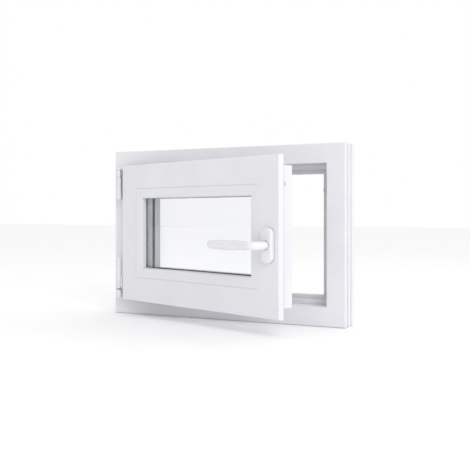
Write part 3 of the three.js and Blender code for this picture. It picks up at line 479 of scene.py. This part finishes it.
def make_ring_seal(node, profile, width, finish="grey_rubber"):
    """One gasket right round the frame or the sash, mitred and welded at its corners."""
    low, high = drawn_box(node)
    path = rectangle_path(low, high)
    piece = sweep("finished_" + node, path, profile, width, low.y, high.y, True, placing(node))
    piece.data.set_sharp_from_angle(angle=SEAL_CORNER)
    return dress(piece, [node], "grey_rubber", finish=finish)


def make_sash_seals(width):
    """The sash's gasket in two lengths, parted at the hinges on the hinge side."""
    low, high = drawn_box("sash_seal")
    middle_low, middle_high = drawn_box("sash_seal_hinge_side")
    parting_low = drawn_box("corner_band")[0].z + OFF_BAND
    parting_high = drawn_box("stay_arm")[1].z + OFF_STAY
    round_path = [
        (low.x, parting_high), (low.x, high.z), (high.x, high.z),
        (high.x, low.z), (low.x, low.z), (low.x, parting_low - OFF_BOTTOM_RUN),
    ]
    straight = [(middle_low.x, middle_low.z), (middle_low.x, middle_high.z)]
    made = []
    for node, path in (("sash_seal", round_path), ("sash_seal_hinge_side", straight)):
        depths = (low.y, high.y)
        piece = sweep("finished_" + node, path, BULB_PROFILE, width, *depths, False, SHUT_TO_REST)
        made.append(dress(piece, [node], "grey_rubber"))
    return made


# ------------------------------ hinge covers

SHOULDER_STEPS = 5
COVER_EDGE = mm(0.2)
PIN_BORE = mm(2.7)
PIN_CAP_WALL = mm(1.5)
# How far up the corner band its plate reaches, and where a slot starts, right of the axis and
# in front of it.
PLATE_REACH, SLOT_RIGHT, SLOT_FRONT = mm(32.9, 1.5, 0.5)
KNUCKLE_CLEARANCE = mm(0.3)
CUT_PAST = mm(1.0)


def cap_profile(outer, inner, bottom, top, wall, rounding):
    """A turned cap, open below, with a rounded shoulder."""
    profile = [(inner, bottom), (outer, bottom)]
    for across, up in quarter_turn(SHOULDER_STEPS):
        profile.append((outer - rounding + rounding * across, top - rounding + rounding * up))
    return profile + [(0.0, top), (0.0, top - wall), (inner, top - wall)]


def slotted_cover(node, profile, slot_low, slot_high):
    """A turned hinge cover with an opening cut in it for the plate that passes through."""
    middle = Vector((HINGE.x, HINGE.y, 0.0))
    piece = lathe("finished_" + node, profile, middle, placing(node))
    carve(piece, box_tool(slot_low, slot_high, placing(node)))
    soften(piece, COVER_EDGE)
    return dress(piece, [node], "white_nylon")


def make_covers(sizes):
    """The two long hinge covers, the sleeve round the stay arm's knuckle and the cap over the pin."""
    wall, rounding = sizes.cover_wall, sizes.cover_rounding
    low, high = drawn_box("corner_band_cover")
    radius = (high.x - low.x) / 2
    outside = radius + CUT_PAST
    plate_top = drawn_box("corner_band")[0].z + PLATE_REACH
    slot_left, slot_front = HINGE.x + SLOT_RIGHT, HINGE.y - SLOT_FRONT
    slotted_cover(
        "corner_band_cover", cap_profile(radius, radius - wall, low.z, high.z, wall, rounding),
        (slot_left, slot_front, low.z - CUT_PAST), (HINGE.x + outside, HINGE.y + outside, plate_top),
    )
    low, high = drawn_box("stay_arm_cover")
    slotted_cover(
        "stay_arm_cover",
        [(radius - wall, low.z), (radius, low.z), (radius, high.z), (radius - wall, high.z)],
        (slot_left, slot_front, low.z - CUT_PAST), (HINGE.x + outside, HINGE.y + outside, high.z + CUT_PAST),
    )
    low, high = drawn_box("stay_bearing_cover")
    upside_down = [
        (PIN_BORE, low.z), (PIN_BORE, low.z + wall), (radius - wall, low.z + wall), (radius - wall, high.z),
        (radius, high.z),
    ]
    for across, down in quarter_turn(SHOULDER_STEPS):
        upside_down.append((radius - rounding + rounding * across, low.z + rounding - rounding * down))
    knuckle = radius - wall - KNUCKLE_CLEARANCE
    slotted_cover(
        "stay_bearing_cover", upside_down,
        (HINGE.x - knuckle, HINGE.y, low.z - CUT_PAST), (HINGE.x, HINGE.y + outside, high.z + CUT_PAST),
    )
    low, high = drawn_box("stay_pin_cap")
    profile = cap_profile(radius, PIN_BORE, low.z, high.z, PIN_CAP_WALL, rounding)
    cap = lathe("finished_stay_pin_cap", profile, Vector((HINGE.x, HINGE.y, 0.0)), UPRIGHT)
    soften(cap, COVER_EDGE)
    dress(cap, ["stay_pin_cap"], "white_nylon")


# ------------------------------ handle

# The lever: radius of the bend in its neck, length of its rounded tip and the spindle's socket.
NECK_BEND, TIP_LENGTH, SOCKET_HALF, SOCKET_DEPTH = mm(16, 9, 3.8, 14)
BEND_STEPS, GRIP_STEPS, TIP_STEPS = 9, 14, 7
# Squareness of the neck and the grip, and how much thinner the grip is at its tip.
NECK_POWER, GRIP_POWER, GRIP_THINNING = 2.0, 2.6, 0.12
# The tip closes short of a point, and a little fuller than an ellipse.
TIP_CLOSING, TIP_FULLNESS = 0.97, 0.8
LEVER_CREASE, ROSE_CREASE = math.radians(42.0), math.radians(40.0)
# The rose: its wall, hole and back step, and how thick its front is inside.
ROSE_WALL, ROSE_HOLE, ROSE_CHAMFER, ROSE_FRONT, ROSE_INSIDE = mm(1.7, 8.85, 0.3, 3, 4.4)
ROSE_STEPS = 7


def oval(centre, side, half_side, half_height, power, count=40):
    """A ring of points, round at power 2 and squarer above, across side and Z."""
    points = []
    for step in range(count):
        angle = 2 * math.pi * step / count
        across, up = math.cos(angle), math.sin(angle)
        across = math.copysign(abs(across) ** (2 / power), across) * half_side
        up = math.copysign(abs(up) ** (2 / power), up) * half_height
        points.append(centre + side * across + Vector((0.0, 0.0, up)))
    return points


def make_lever(sizes):
    """The lever: a round neck that bends into a grip, fuller in the middle, with a rounded tip."""
    low, high = drawn_box("handle_lever")
    neck = high.x - HANDLE_AT.x
    thickness = sizes.lever_thickness
    plane = low.y + thickness / 2
    bend = NECK_BEND
    length = HANDLE_AT.x - low.x
    stations = []
    for depth in (high.y, high.y - mm(1), plane + bend + mm(6), plane + bend):
        centre = Vector((HANDLE_AT.x, depth, HANDLE_AT.z))
        stations.append((centre, Vector((1.0, 0.0, 0.0)), neck, neck, NECK_POWER))
    waist, belly = sizes.lever_waist, sizes.lever_belly
    for step in range(1, BEND_STEPS + 1):
        share = step / BEND_STEPS
        angle = math.pi / 2 * share
        centre = Vector((
            HANDLE_AT.x - bend + bend * math.cos(angle), plane + bend - bend * math.sin(angle), HANDLE_AT.z,
        ))
        side = Vector((math.cos(angle), -math.sin(angle), 0.0))
        half_side = neck + (thickness / 2 - neck) * share
        half_height = neck + (waist - neck) * share
        power = NECK_POWER + (GRIP_POWER - NECK_POWER) * share
        stations.append((centre, side, half_side, half_height, power))
    outwards, tip_start = Vector((0.0, -1.0, 0.0)), length - TIP_LENGTH
    for step in range(1, GRIP_STEPS + 1):
        share = step / GRIP_STEPS
        reach = bend + (tip_start - bend) * share
        half_height = waist + (belly - waist) * math.sin(math.pi * share)
        half_side = thickness / 2 * (1 - GRIP_THINNING * share)
        centre = Vector((HANDLE_AT.x - reach, plane, HANDLE_AT.z))
        stations.append((centre, outwards, half_side, half_height, GRIP_POWER))
    for step in range(1, TIP_STEPS + 1):
        angle = math.pi / 2 * step / TIP_STEPS * TIP_CLOSING
        reach = tip_start + TIP_LENGTH * math.sin(angle)
        shrink = math.cos(angle) ** TIP_FULLNESS
        centre = Vector((HANDLE_AT.x - reach, plane, HANDLE_AT.z))
        side_half = thickness / 2 * (1 - GRIP_THINNING) * shrink
        stations.append((centre, outwards, side_half, waist * shrink, GRIP_POWER))
    loops = [oval(*station) for station in stations]
    piece = plain_object("finished_handle_lever", stitch(bmesh.new(), loops, closed=False), SHUT_TO_REST)
    carve(piece, box_tool(
        (HANDLE_AT.x - SOCKET_HALF, high.y - SOCKET_DEPTH, HANDLE_AT.z - SOCKET_HALF),
        (HANDLE_AT.x + SOCKET_HALF, high.y + CUT_PAST, HANDLE_AT.z + SOCKET_HALF), SHUT_TO_REST,
    ))
    shade_smooth(piece)
    piece.data.set_sharp_from_angle(angle=LEVER_CREASE)
    return dress(piece, ["handle_lever"], "white_lacquer")


def rounded_ring(half_width, half_height, corner, depth, count=48):
    """A ring of points on a rounded rectangle round the handle's axis, at one depth."""
    points = []
    for step in range(count):
        angle = 2 * math.pi * (step + 0.5) / count
        out = (math.cos(angle), math.sin(angle))
        x = math.copysign(half_width - corner, out[0]) + corner * out[0]
        z = math.copysign(half_height - corner, out[1]) + corner * out[1]
        points.append(Vector((HANDLE_AT.x + x, depth, HANDLE_AT.z + z)))
    return points


def make_rose(sizes):
    """The rose cover: a snap-on shell with a soft front edge and a round hole for the neck."""
    low, high = drawn_box("rose_cover")
    half_width, half_height = (high.x - low.x) / 2, (high.z - low.z) / 2
    corner, rounding, wall, hole = half_width - mm(1.0), sizes.rose_rounding, ROSE_WALL, ROSE_HOLE
    chamfer = ROSE_CHAMFER
    loops = [rounded_ring(half_width - wall, half_height - wall, corner - wall, high.y)]
    loops.append(rounded_ring(half_width - chamfer, half_height - chamfer, corner - chamfer, high.y))
    loops.append(rounded_ring(half_width, half_height, corner, high.y - mm(0.4)))
    for across, forward in quarter_turn(ROSE_STEPS):
        inset = rounding - rounding * across
        depth = low.y + rounding - rounding * forward
        loops.append(rounded_ring(half_width - inset, half_height - inset, corner - inset * 0.9, depth))
    loops.append(rounded_ring(hole + mm(0.8), hole + mm(0.8), hole + mm(0.8), low.y))
    loops.append(rounded_ring(hole, hole, hole, low.y + mm(0.7)))
    loops.append(rounded_ring(hole, hole, hole, low.y + ROSE_FRONT))
    inner = (half_width - ROSE_FRONT, half_height - ROSE_FRONT, corner - ROSE_FRONT + chamfer)
    loops.append(rounded_ring(*inner, low.y + ROSE_FRONT))
    loops.append(rounded_ring(half_width - wall, half_height - wall, corner - wall, low.y + ROSE_INSIDE))
    piece = plain_object("finished_rose_cover", stitch(bmesh.new(), loops, closed=True), SHUT_TO_REST)
    shade_smooth(piece)
    piece.data.set_sharp_from_angle(angle=ROSE_CREASE)
    return dress(piece, ["rose_cover"], "white_lacquer")


# ------------------------------ what repeats, by Geometry Nodes

# A screw head's top as a share of its rim, and how deep and how high its cross recess is cut.
HEAD_TOP, RECESS_CUT, RECESS_MIDDLE = 0.72, 1.4, 0.95


def unit_tree(name, sizes, build_unit):
    """A tree that sets one unit on every point of its mesh, turned by the point's own angles."""
    tree = bpy.data.node_groups.new(name, "GeometryNodeTree")
    face = tree.interface
    face.new_socket("Points", in_out="INPUT", socket_type="NodeSocketGeometry")
    for label, default in sizes.items():
        socket = face.new_socket(label, in_out="INPUT", socket_type="NodeSocketFloat")
        socket.default_value = default
    face.new_socket("Finish", in_out="INPUT", socket_type="NodeSocketMaterial")
    face.new_socket("Pieces", in_out="OUTPUT", socket_type="NodeSocketGeometry")
    given = add(tree, "NodeGroupInput")
    unit = build_unit(tree, given)
    angles = add(tree, "GeometryNodeInputNamedAttribute", {"Name": "turn"}, data_type="FLOAT_VECTOR")
    turn = add(tree, "FunctionNodeEulerToRotation", {0: (angles, "Attribute")})
    points = {"Points": (given, "Points"), "Instance": unit, "Rotation": turn}
    placed = add(tree, "GeometryNodeInstanceOnPoints", points)
    real = add(tree, "GeometryNodeRealizeInstances", {0: placed})
    smooth = add(tree, "GeometryNodeSetShadeSmooth", {"Geometry": real, "Shade Smooth": False})
    painted = add(tree, "GeometryNodeSetMaterial", {"Geometry": smooth, "Material": (given, "Finish")})
    add(tree, "NodeGroupOutput", {"Pieces": (painted, "Geometry")})
    return tree


def screw_unit(tree, given):
    """A raised countersunk head with a cross recess, standing on Z."""
    head, raised = (given, "Head Radius"), (given, "Head Rise")
    arm, blade = (given, "Recess Length"), (given, "Recess Width")
    top = add(tree, "ShaderNodeMath", {0: head, 1: HEAD_TOP}, operation="MULTIPLY")
    cone = {"Vertices": 28, "Radius Top": top, "Radius Bottom": head, "Depth": raised}
    dome = add(tree, "GeometryNodeMeshCone", cone)
    deep = add(tree, "ShaderNodeMath", {0: raised, 1: RECESS_CUT}, operation="MULTIPLY")
    middle = add(tree, "ShaderNodeMath", {0: raised, 1: RECESS_MIDDLE}, operation="MULTIPLY")
    lift = add(tree, "ShaderNodeCombineXYZ", {2: middle})
    cut = dome
    for across, along in ((arm, blade), (blade, arm)):
        size = add(tree, "ShaderNodeCombineXYZ", {0: across, 1: along, 2: deep})
        bar = add(tree, "GeometryNodeMeshCube", {"Size": size})
        raised_bar = add(tree, "GeometryNodeTransform", {"Geometry": bar, "Translation": lift})
        cut = add(tree, "GeometryNodeMeshBoolean", {"Mesh 1": cut, "Mesh 2": raised_bar})
    return cut


def perforation_unit(tree, given):
    """The raised rim of one punched hole, standing on Z."""
    rise = (given, "Rim Rise")
    depth = add(tree, "ShaderNodeMath", {0: rise, 1: 2.0}, operation="MULTIPLY")
    outside = {"Vertices": 12, "Radius": (given, "Rim Radius"), "Depth": rise}
    inside = {"Vertices": 12, "Radius": (given, "Hole Radius"), "Depth": depth}
    rim = add(tree, "GeometryNodeMeshCylinder", outside)
    hole = add(tree, "GeometryNodeMeshCylinder", inside)
    return add(tree, "GeometryNodeMeshBoolean", {"Mesh 1": rim, "Mesh 2": hole})


def ring_unit(tree, given):
    """A raised bead round an upright boss."""
    round_boss = {"Resolution": 40, "Radius": (given, "Ring Radius")}
    round_bead = {"Resolution": 10, "Radius": (given, "Bead Radius")}
    loop = add(tree, "GeometryNodeCurvePrimitiveCircle", round_boss)
    wire = add(tree, "GeometryNodeCurvePrimitiveCircle", round_bead)
    return add(tree, "GeometryNodeCurveToMesh", {"Curve": loop, "Profile Curve": wire})


def repeat(name, node, slot, tree, spots, sizes):
    """Sets the tree's unit on each (place, outward direction) and makes one plain piece of them."""
    turn = placing(node)
    mesh = bpy.data.meshes.new(name)
    mesh.from_pydata([turn @ Vector(place) for place, _ in spots], [], [])
    angles = mesh.attributes.new("turn", "FLOAT_VECTOR", "POINT")
    for index, (_, outward) in enumerate(spots):
        facing = (turn.to_3x3() @ Vector(outward)).to_track_quat("Z", "Y").to_euler()
        angles.data[index].vector = facing
    piece = bpy.data.objects.new(name, mesh)
    bpy.context.scene.collection.objects.link(piece)
    modifier = piece.modifiers.new("units", "NODES")
    modifier.node_group = tree
    finish = material_for(slot, None, BODY_OF[node] != "frame")
    wanted = {"Finish": finish, **sizes}
    for item in tree.interface.items_tree:
        if item.item_type == "SOCKET" and item.in_out == "INPUT" and item.name in wanted:
            modifier[item.identifier] = wanted[item.name]
    settle(piece)
    if not piece.data.polygons:
        raise RuntimeError(f"{name} came out empty")
    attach(piece, BODY_OF[node])
    return piece


# ------------------------------ where the repeats go

# Screws in the strikers: either side of the hook, on the base.
STRIKER_SPACING, STRIKER_BASE = mm(16, 2)
# Screws in the hinge leaves, which lie on the face of the frame.
LEAF_FRONT, LEAF_MIDDLE = mm(-33.1, -289.5)
LEAF_HEIGHTS = mm(43, 55, 292, 321, 349)
# Screws along the face plates and the corner band.
SIDE_PLATE_HEIGHTS = mm(80, 136, 226, 272, 323)
TOP_PLATE_PLACES = mm(-222, -140, -16, 62, 190, 222)
BOTTOM_PLATE_PLACES = mm(40, 100, 196, 222)
BAND_HEIGHTS = mm(74, 92, 118)
BAND_OUTSIDE_PLATE = mm(16.8)
# Grip beads round the barrel of the corner bearing.
GRIP_HEIGHTS = mm(43.5, 46.5, 49.5, 52.5, 55.5)
# The spacer's holes, in from its outside and either side of its middle.
SPACER_INSET, SPACER_ROWS = mm(7.5), mm(-4.0, 4.0)


def screw_spots(node, axis, outward, places, level):
    """Screws on one face of a node: places along an axis, at a level on the facing axis."""
    depth = sum(corner.y for corner in drawn_box(node)) / 2
    spots = []
    for place in places:
        spot = [0.0, depth, 0.0]
        spot["xyz".index(axis)] = place
        facing = 0 if outward[0] else 2
        spot[facing] = level
        spots.append((spot, outward))
    return spots


def striker_screws(node, axis, outward):
    """The two screws of a striker, either side of its hook."""
    spacing, base = STRIKER_SPACING, STRIKER_BASE
    low, high = drawn_box(node)
    middle = (low + high) / 2
    back = {(-1, 0, 0): high.x - base, (0, 0, -1): high.z - base, (0, 0, 1): low.z + base}[outward]
    centre = middle.z if axis == "z" else middle.x
    return screw_spots(node, axis, outward, [centre - spacing, centre + spacing], back)


def perforation_spots(pitch):
    """Two rows of holes round the spacer's inner face, each looking across the glass."""
    inset = SPACER_INSET
    low, high = drawn_box("glass_spacer")
    middle = (low.y + high.y) / 2
    spots = []
    left, right = low.x + inset, high.x - inset
    bottom, top = low.z + inset, high.z - inset
    for row in SPACER_ROWS:
        across = int((right - left) / pitch) - 1
        for step in range(across):
            x = left + (right - left) * (step + 1) / (across + 1)
            spots += [((x, middle + row, bottom), (0, 0, 1)), ((x, middle + row, top), (0, 0, -1))]
        upward = int((top - bottom) / pitch) - 1
        for step in range(upward):
            z = bottom + (top - bottom) * (step + 1) / (upward + 1)
            spots += [((left, middle + row, z), (1, 0, 0)), ((right, middle + row, z), (-1, 0, 0))]
    return spots


# ------------------------------ settings

def length(label, about, millimetres):
    """A length that the user can change."""
    return bpy.props.FloatProperty(
        name=label, description=about, default=mm(millimetres), min=0.0, precision=5, unit="LENGTH",
    )


def colour(label, about, hex_colour):
    """A colour that the user can change, written as sRGB hex."""
    return bpy.props.StringProperty(name=label, description=about, default=hex_colour, maxlen=7)


class WindowSizes(bpy.types.PropertyGroup):
    """Sizes of the finished pieces."""

    profile_edge: length("Profile Edge", "Rounding along the edges of the PVC bars", 0.45)
    glass_edge: length("Glass Edge", "Ground edge of the panes", 0.5)
    hardware_edge: length("Hardware Edge", "Rounding along the edges of the metal pieces", 0.22)
    frame_seal_width: length("Frame Seal", "Width of the frame's gasket", 8.4)
    sash_seal_width: length("Sash Seal", "Width of the sash's gasket", 6.0)
    glazing_seal_width: length("Glazing Seal", "Width of the gaskets that hold the glass", 11.6)
    cover_wall: length("Cover Wall", "Wall of the hinge covers", 1.2)
    cover_rounding: length("Cover Rounding", "Shoulder of the hinge covers", 2.0)
    lever_thickness: length("Lever Thickness", "Thickness of the lever, room to window", 13.0)
    lever_waist: length("Lever Waist", "Half height of the lever at its ends", 8.2)
    lever_belly: length("Lever Belly", "Half height of the lever at its middle", 10.2)
    rose_rounding: length("Rose Rounding", "Soft front edge of the rose", 3.2)
    screw_radius: length("Screw Head", "Radius of the screw heads", 3.2)
    screw_rise: length("Screw Rise", "Height of the screw heads over their plate", 0.8)
    hole_pitch: length("Spacer Pitch", "Spacing of the spacer's holes", 5.0)


class WindowColours(bpy.types.PropertyGroup):
    """Colours that the user would change."""

    profile: colour("Profiles", "Colour of the PVC bars", "#EAEAED")
    seal: colour("Seals", "Colour of the gaskets", "#D6D7DA")
    floor: colour("Floor", "Colour of the studio floor", "#FBFBFC")


# ------------------------------ one operator for each group of pieces

class WINDOW_OT_profiles(bpy.types.Operator):
    """Finish the welded PVC bars of the frame and the sash, and the glazing beads"""

    bl_idname = "window.profiles"
    bl_label = "Frame and Sash Profiles"

    def execute(self, context):
        edge = context.scene.window_sizes.profile_edge
        FINISHES["white_pvc"]["light"] = context.scene.window_colours.profile
        bars = {
            "z": ["frame_jamb_left", "frame_jamb_right", "sash_stile_hinge", "sash_stile_lock",
                  "glazing_bead_left", "glazing_bead_right"],
            "x": ["frame_head", "frame_sill", "sash_rail_top", "sash_rail_bottom",
                  "glazing_bead_top", "glazing_bead_bottom"],
        }
        for run, nodes in bars.items():
            for node in nodes:
                refine_bar(node, run, edge, MITRE_GAP)
        return {"FINISHED"}


class WINDOW_OT_reinforcement(bpy.types.Operator):
    """Finish the galvanised tubes inside the profiles"""

    bl_idname = "window.reinforcement"
    bl_label = "Steel Reinforcement"

    def execute(self, context):
        edge = context.scene.window_sizes.hardware_edge
        for part in ("frame", "sash"):
            for side in ("left", "top", "right", "bottom"):
                refine(f"{part}_steel_{side}", "galvanised_steel", edge)
        return {"FINISHED"}


class WINDOW_OT_glazing(bpy.types.Operator):
    """Finish the double glazing: panes, spacer with its punched holes, sealant and packers"""

    bl_idname = "window.glazing"
    bl_label = "Glazing"

    def execute(self, context):
        sizes = context.scene.window_sizes
        for node in ("glass_pane_inner", "glass_pane_outer"):
            ground_pane(node, sizes.glass_edge)
        refine("glass_spacer", "spacer_aluminium", sizes.hardware_edge)
        refine("glass_edge_seal", "sealant", sizes.hardware_edge)
        for side in ("left", "right"):
            refine(f"setting_block_{side}", "block_plastic", sizes.glass_edge)
        punched = {"Rim Radius": mm(0.95), "Hole Radius": mm(0.55), "Rim Rise": mm(0.3)}
        tree = unit_tree("Spacer perforations", punched, perforation_unit)
        spots = perforation_spots(sizes.hole_pitch)
        repeat("spacer_perforations", "glass_spacer", "spacer_aluminium", tree, spots, punched)
        return {"FINISHED"}


class WINDOW_OT_seals(bpy.types.Operator):
    """Draw the gaskets of the frame, the sash and the glass with their lips"""

    bl_idname = "window.seals"
    bl_label = "Seals"

    def execute(self, context):
        sizes = context.scene.window_sizes
        FINISHES["grey_rubber"]["light"] = context.scene.window_colours.seal
        make_ring_seal("frame_seal", BULB_PROFILE, sizes.frame_seal_width)
        for node in ("glazing_seal_inner", "glazing_seal_outer"):
            make_ring_seal(node, LIP_PROFILE, sizes.glazing_seal_width, "glazing_rubber")
        make_sash_seals(sizes.sash_seal_width)
        return {"FINISHED"}


class WINDOW_OT_hinges(bpy.types.Operator):
    """Finish the corner bearing, the stay bearing, their pins, the stay arm and the covers"""

    bl_idname = "window.hinges"
    bl_label = "Hinges and Covers"

    def execute(self, context):
        sizes = context.scene.window_sizes
        for node in ("corner_bearing", "stay_bearing", "corner_band"):
            refine(node, "white_lacquer", mm(0.4))
        for node in ("stay_pin", "pivot_pin", "stay_arm"):
            refine(node, "zinc_plated_steel", sizes.hardware_edge)
        make_covers(sizes)
        low, high = drawn_box("stay_pin_cap")
        beads = {"Ring Radius": (high.x - low.x) / 2, "Bead Radius": mm(0.4)}
        tree = unit_tree("Grip rings", beads, ring_unit)
        spots = [((HINGE.x, HINGE.y, height), (0, 0, 1)) for height in GRIP_HEIGHTS]
        repeat("bearing_grip_rings", "corner_bearing", "white_lacquer", tree, spots, beads)
        return {"FINISHED"}


class WINDOW_OT_locking(bpy.types.Operator):
    """Finish the face plates, the drive rods with their cams, the gearbox and the strikers"""

    bl_idname = "window.locking"
    bl_label = "Locking Hardware"

    def execute(self, context):
        edge = context.scene.window_sizes.hardware_edge
        for node in ("face_plate_side", "face_plate_top", "face_plate_bottom",
                     "drive_rod_side", "drive_rod_top", "drive_rod_bottom",
                     "striker_side", "striker_top", "striker_tilt"):
            refine(node, "zinc_plated_steel", edge)
        refine("drive_pinion", "zinc_plated_steel", mm(0.08))
        refine("gearbox_housing", "galvanised_steel", edge)
        return {"FINISHED"}


class WINDOW_OT_handle(bpy.types.Operator):
    """Draw the lever and its rose, and finish the base, the spindle and the screws behind them"""

    bl_idname = "window.handle"
    bl_label = "Handle"

    def execute(self, context):
        sizes = context.scene.window_sizes
        make_lever(sizes)
        make_rose(sizes)
        refine("rose_base", "white_nylon", sizes.hardware_edge)
        refine("handle_spindle", "galvanised_steel", sizes.hardware_edge)
        for place in ("lower", "upper"):
            refine(f"handle_screw_{place}", "zinc_plated_steel", sizes.hardware_edge)
        return {"FINISHED"}


class WINDOW_OT_screws(bpy.types.Operator):
    """Set the cross-head screws in the strikers, the face plates and the hinge leaves"""

    bl_idname = "window.screws"
    bl_label = "Screws"

    def execute(self, context):
        sizes = context.scene.window_sizes
        head = {
            "Head Radius": sizes.screw_radius, "Head Rise": sizes.screw_rise,
            "Recess Length": sizes.screw_radius * 1.1, "Recess Width": mm(0.9),
        }
        tree = unit_tree("Screw heads", head, screw_unit)
        strikers = striker_screws("striker_side", "z", (-1, 0, 0))
        strikers += striker_screws("striker_top", "x", (0, 0, -1))
        strikers += striker_screws("striker_tilt", "x", (0, 0, 1))
        leaves = [((LEAF_MIDDLE, LEAF_FRONT, height), (0, -1, 0)) for height in LEAF_HEIGHTS]
        side, top, bottom = (drawn_box(f"face_plate_{name}") for name in ("side", "top", "bottom"))
        plates = screw_spots("face_plate_side", "z", (1, 0, 0), SIDE_PLATE_HEIGHTS, side[1].x)
        plates += screw_spots("face_plate_top", "x", (0, 0, 1), TOP_PLATE_PLACES, top[1].z)
        plates += screw_spots("face_plate_bottom", "x", (0, 0, -1), BOTTOM_PLATE_PLACES, bottom[0].z)
        band = drawn_box("corner_band")
        leg_face = top[0].x - BAND_OUTSIDE_PLATE
        depth = (side[0].y + side[1].y) / 2
        plates += [((leg_face, depth, height), (-1, 0, 0)) for height in BAND_HEIGHTS]
        if leg_face < band[0].x:
            raise RuntimeError("the band's screws stand off the band")
        repeat("striker_screws", "striker_side", "zinc_plated_steel", tree, strikers, head)
        repeat("leaf_screws", "stay_bearing", "zinc_plated_steel", tree, leaves, head)
        repeat("plate_screws", "face_plate_side", "zinc_plated_steel", tree, plates, head)
        return {"FINISHED"}


# ------------------------------ stage

FLOOR_SIZE, FLOOR_DROP = 12.0, mm(-0.5)
# The air is white and falls to this share of it towards the dark side.
DARK_SIDE, DARK_LEVEL = (-0.75, -0.66, 0.0), 0.62
CAMERA_AT, CAMERA_LOOKS = (0.8354, -1.6127, 0.2469), (-0.4514, 0.8923, 0.0)
LENS, SHIFT_UP = 59.04, -0.046
# Each lamp: its name, place, size and power. All look at the middle of the window.
LAMPS = [("key_right", (2.1, -2.1, 1.9), 1.2, 23.5), ("top_back", (0.2, 1.4, 2.2), 1.6, 2.0)]
WINDOW_MIDDLE = (0.0, 0.0, 0.2)


def floor_finish(hex_colour):
    """Matt painted board: near white, with the faintest mottling."""
    material = bpy.data.materials.new("painted_floor_board")
    material.use_nodes = True
    tree = material.node_tree
    tree.nodes.clear()
    place = (add(tree, "ShaderNodeTexCoord"), "Object")
    mottle = add(tree, "ShaderNodeTexNoise", {"Vector": place, "Scale": per_mm(120), **MOTTLE})
    amount = add(tree, "ShaderNodeMapRange", {"Value": mottle, **MOTTLE_LIMITS})
    tints = {0: amount, 6: linear(hex_colour), 7: linear("#F7F7F8")}
    colour_now = (add(tree, "ShaderNodeMix", tints, data_type="RGBA"), 2)
    sockets = {"Base Color": colour_now, "Roughness": 0.9, "IOR": 1.45, "Specular IOR Level": 0.2}
    sockets.update({"Emission Color": linear("#FFFFFF"), "Emission Strength": 0.06})
    board = add(tree, "ShaderNodeBsdfPrincipled", sockets)
    add(tree, "ShaderNodeOutputMaterial", {"Surface": board})
    return material


def soft_light(name, place, target, size, watts):
    """A large square lamp aimed at a point."""
    data = bpy.data.lights.new(name, "AREA")
    data.energy = watts
    data.size = size
    lamp = bpy.data.objects.new(name, data)
    lamp.location = place
    lamp.rotation_euler = (Vector(target) - Vector(place)).to_track_quat("-Z", "Y").to_euler()
    bpy.context.scene.collection.objects.link(lamp)


class WINDOW_OT_stage(bpy.types.Operator):
    """Lay the floor, set the studio light and place the camera"""

    bl_idname = "window.stage"
    bl_label = "Stage"

    def execute(self, context):
        scene = context.scene
        bm = bmesh.new()
        bmesh.ops.create_grid(bm, x_segments=4, y_segments=4, size=FLOOR_SIZE)
        floor = plain_object("studio_floor", bm, Matrix.Translation((0.0, 0.0, FLOOR_DROP)))
        floor.data.materials.append(floor_finish(scene.window_colours.floor))
        world = bpy.data.worlds.new("studio_air")
        scene.world = world
        world.use_nodes = True
        air = world.node_tree
        air.nodes.clear()
        heading = add(air, "ShaderNodeTexCoord")
        dark_side = {0: (heading, "Generated"), 1: DARK_SIDE}
        facing = (add(air, "ShaderNodeVectorMath", dark_side, operation="DOT_PRODUCT"), "Value")
        limits = {"Value": facing, "From Min": 0.0, "From Max": 1.0, "To Min": 1.0, "To Max": DARK_LEVEL}
        level = (add(air, "ShaderNodeMapRange", limits, interpolation_type="SMOOTHSTEP"), 0)
        white = add(air, "ShaderNodeBackground", {"Color": linear("#FFFFFF"), "Strength": level})
        add(air, "ShaderNodeOutputWorld", {"Surface": white})
        for name, place, size, watts in LAMPS:
            soft_light(name, place, WINDOW_MIDDLE, size, watts)
        data = bpy.data.cameras.new("camera")
        data.lens = LENS
        data.shift_y = SHIFT_UP
        data.clip_start = 0.05
        camera = bpy.data.objects.new("camera", data)
        camera.location = CAMERA_AT
        camera.rotation_euler = Vector(CAMERA_LOOKS).to_track_quat("-Z", "Y").to_euler()
        scene.collection.objects.link(camera)
        scene.camera = camera
        scene.view_settings.view_transform = "Standard"
        return {"FINISHED"}


OPERATORS = [
    WINDOW_OT_profiles, WINDOW_OT_reinforcement, WINDOW_OT_glazing, WINDOW_OT_seals, WINDOW_OT_hinges,
    WINDOW_OT_locking, WINDOW_OT_handle, WINDOW_OT_screws, WINDOW_OT_stage,
]


class WINDOW_PT_panel(bpy.types.Panel):
    """The window's pieces and settings in the sidebar"""

    bl_label = "Casement Window"
    bl_idname = "WINDOW_PT_panel"
    bl_space_type = "VIEW_3D"
    bl_region_type = "UI"
    bl_category = "Casement Window"

    def draw(self, context):
        layout = self.layout
        for settings in (context.scene.window_sizes, context.scene.window_colours):
            column = layout.column(align=True)
            for name in settings.__annotations__:
                column.prop(settings, name)
        for operator in OPERATORS:
            layout.operator(operator.bl_idname)


CLASSES = [WindowSizes, WindowColours, *OPERATORS, WINDOW_PT_panel]


def register():
    for cls in CLASSES:
        bpy.utils.register_class(cls)
    bpy.types.Scene.window_sizes = bpy.props.PointerProperty(type=WindowSizes)
    bpy.types.Scene.window_colours = bpy.props.PointerProperty(type=WindowColours)


def unregister():
    del bpy.types.Scene.window_colours
    del bpy.types.Scene.window_sizes
    for cls in reversed(CLASSES):
        bpy.utils.unregister_class(cls)


def main():
    """Builds every group of pieces in order."""
    register()
    for operator in OPERATORS:
        group, name = operator.bl_idname.split(".")
        getattr(getattr(bpy.ops, group), name)()


if __name__ == "__main__":
    main()
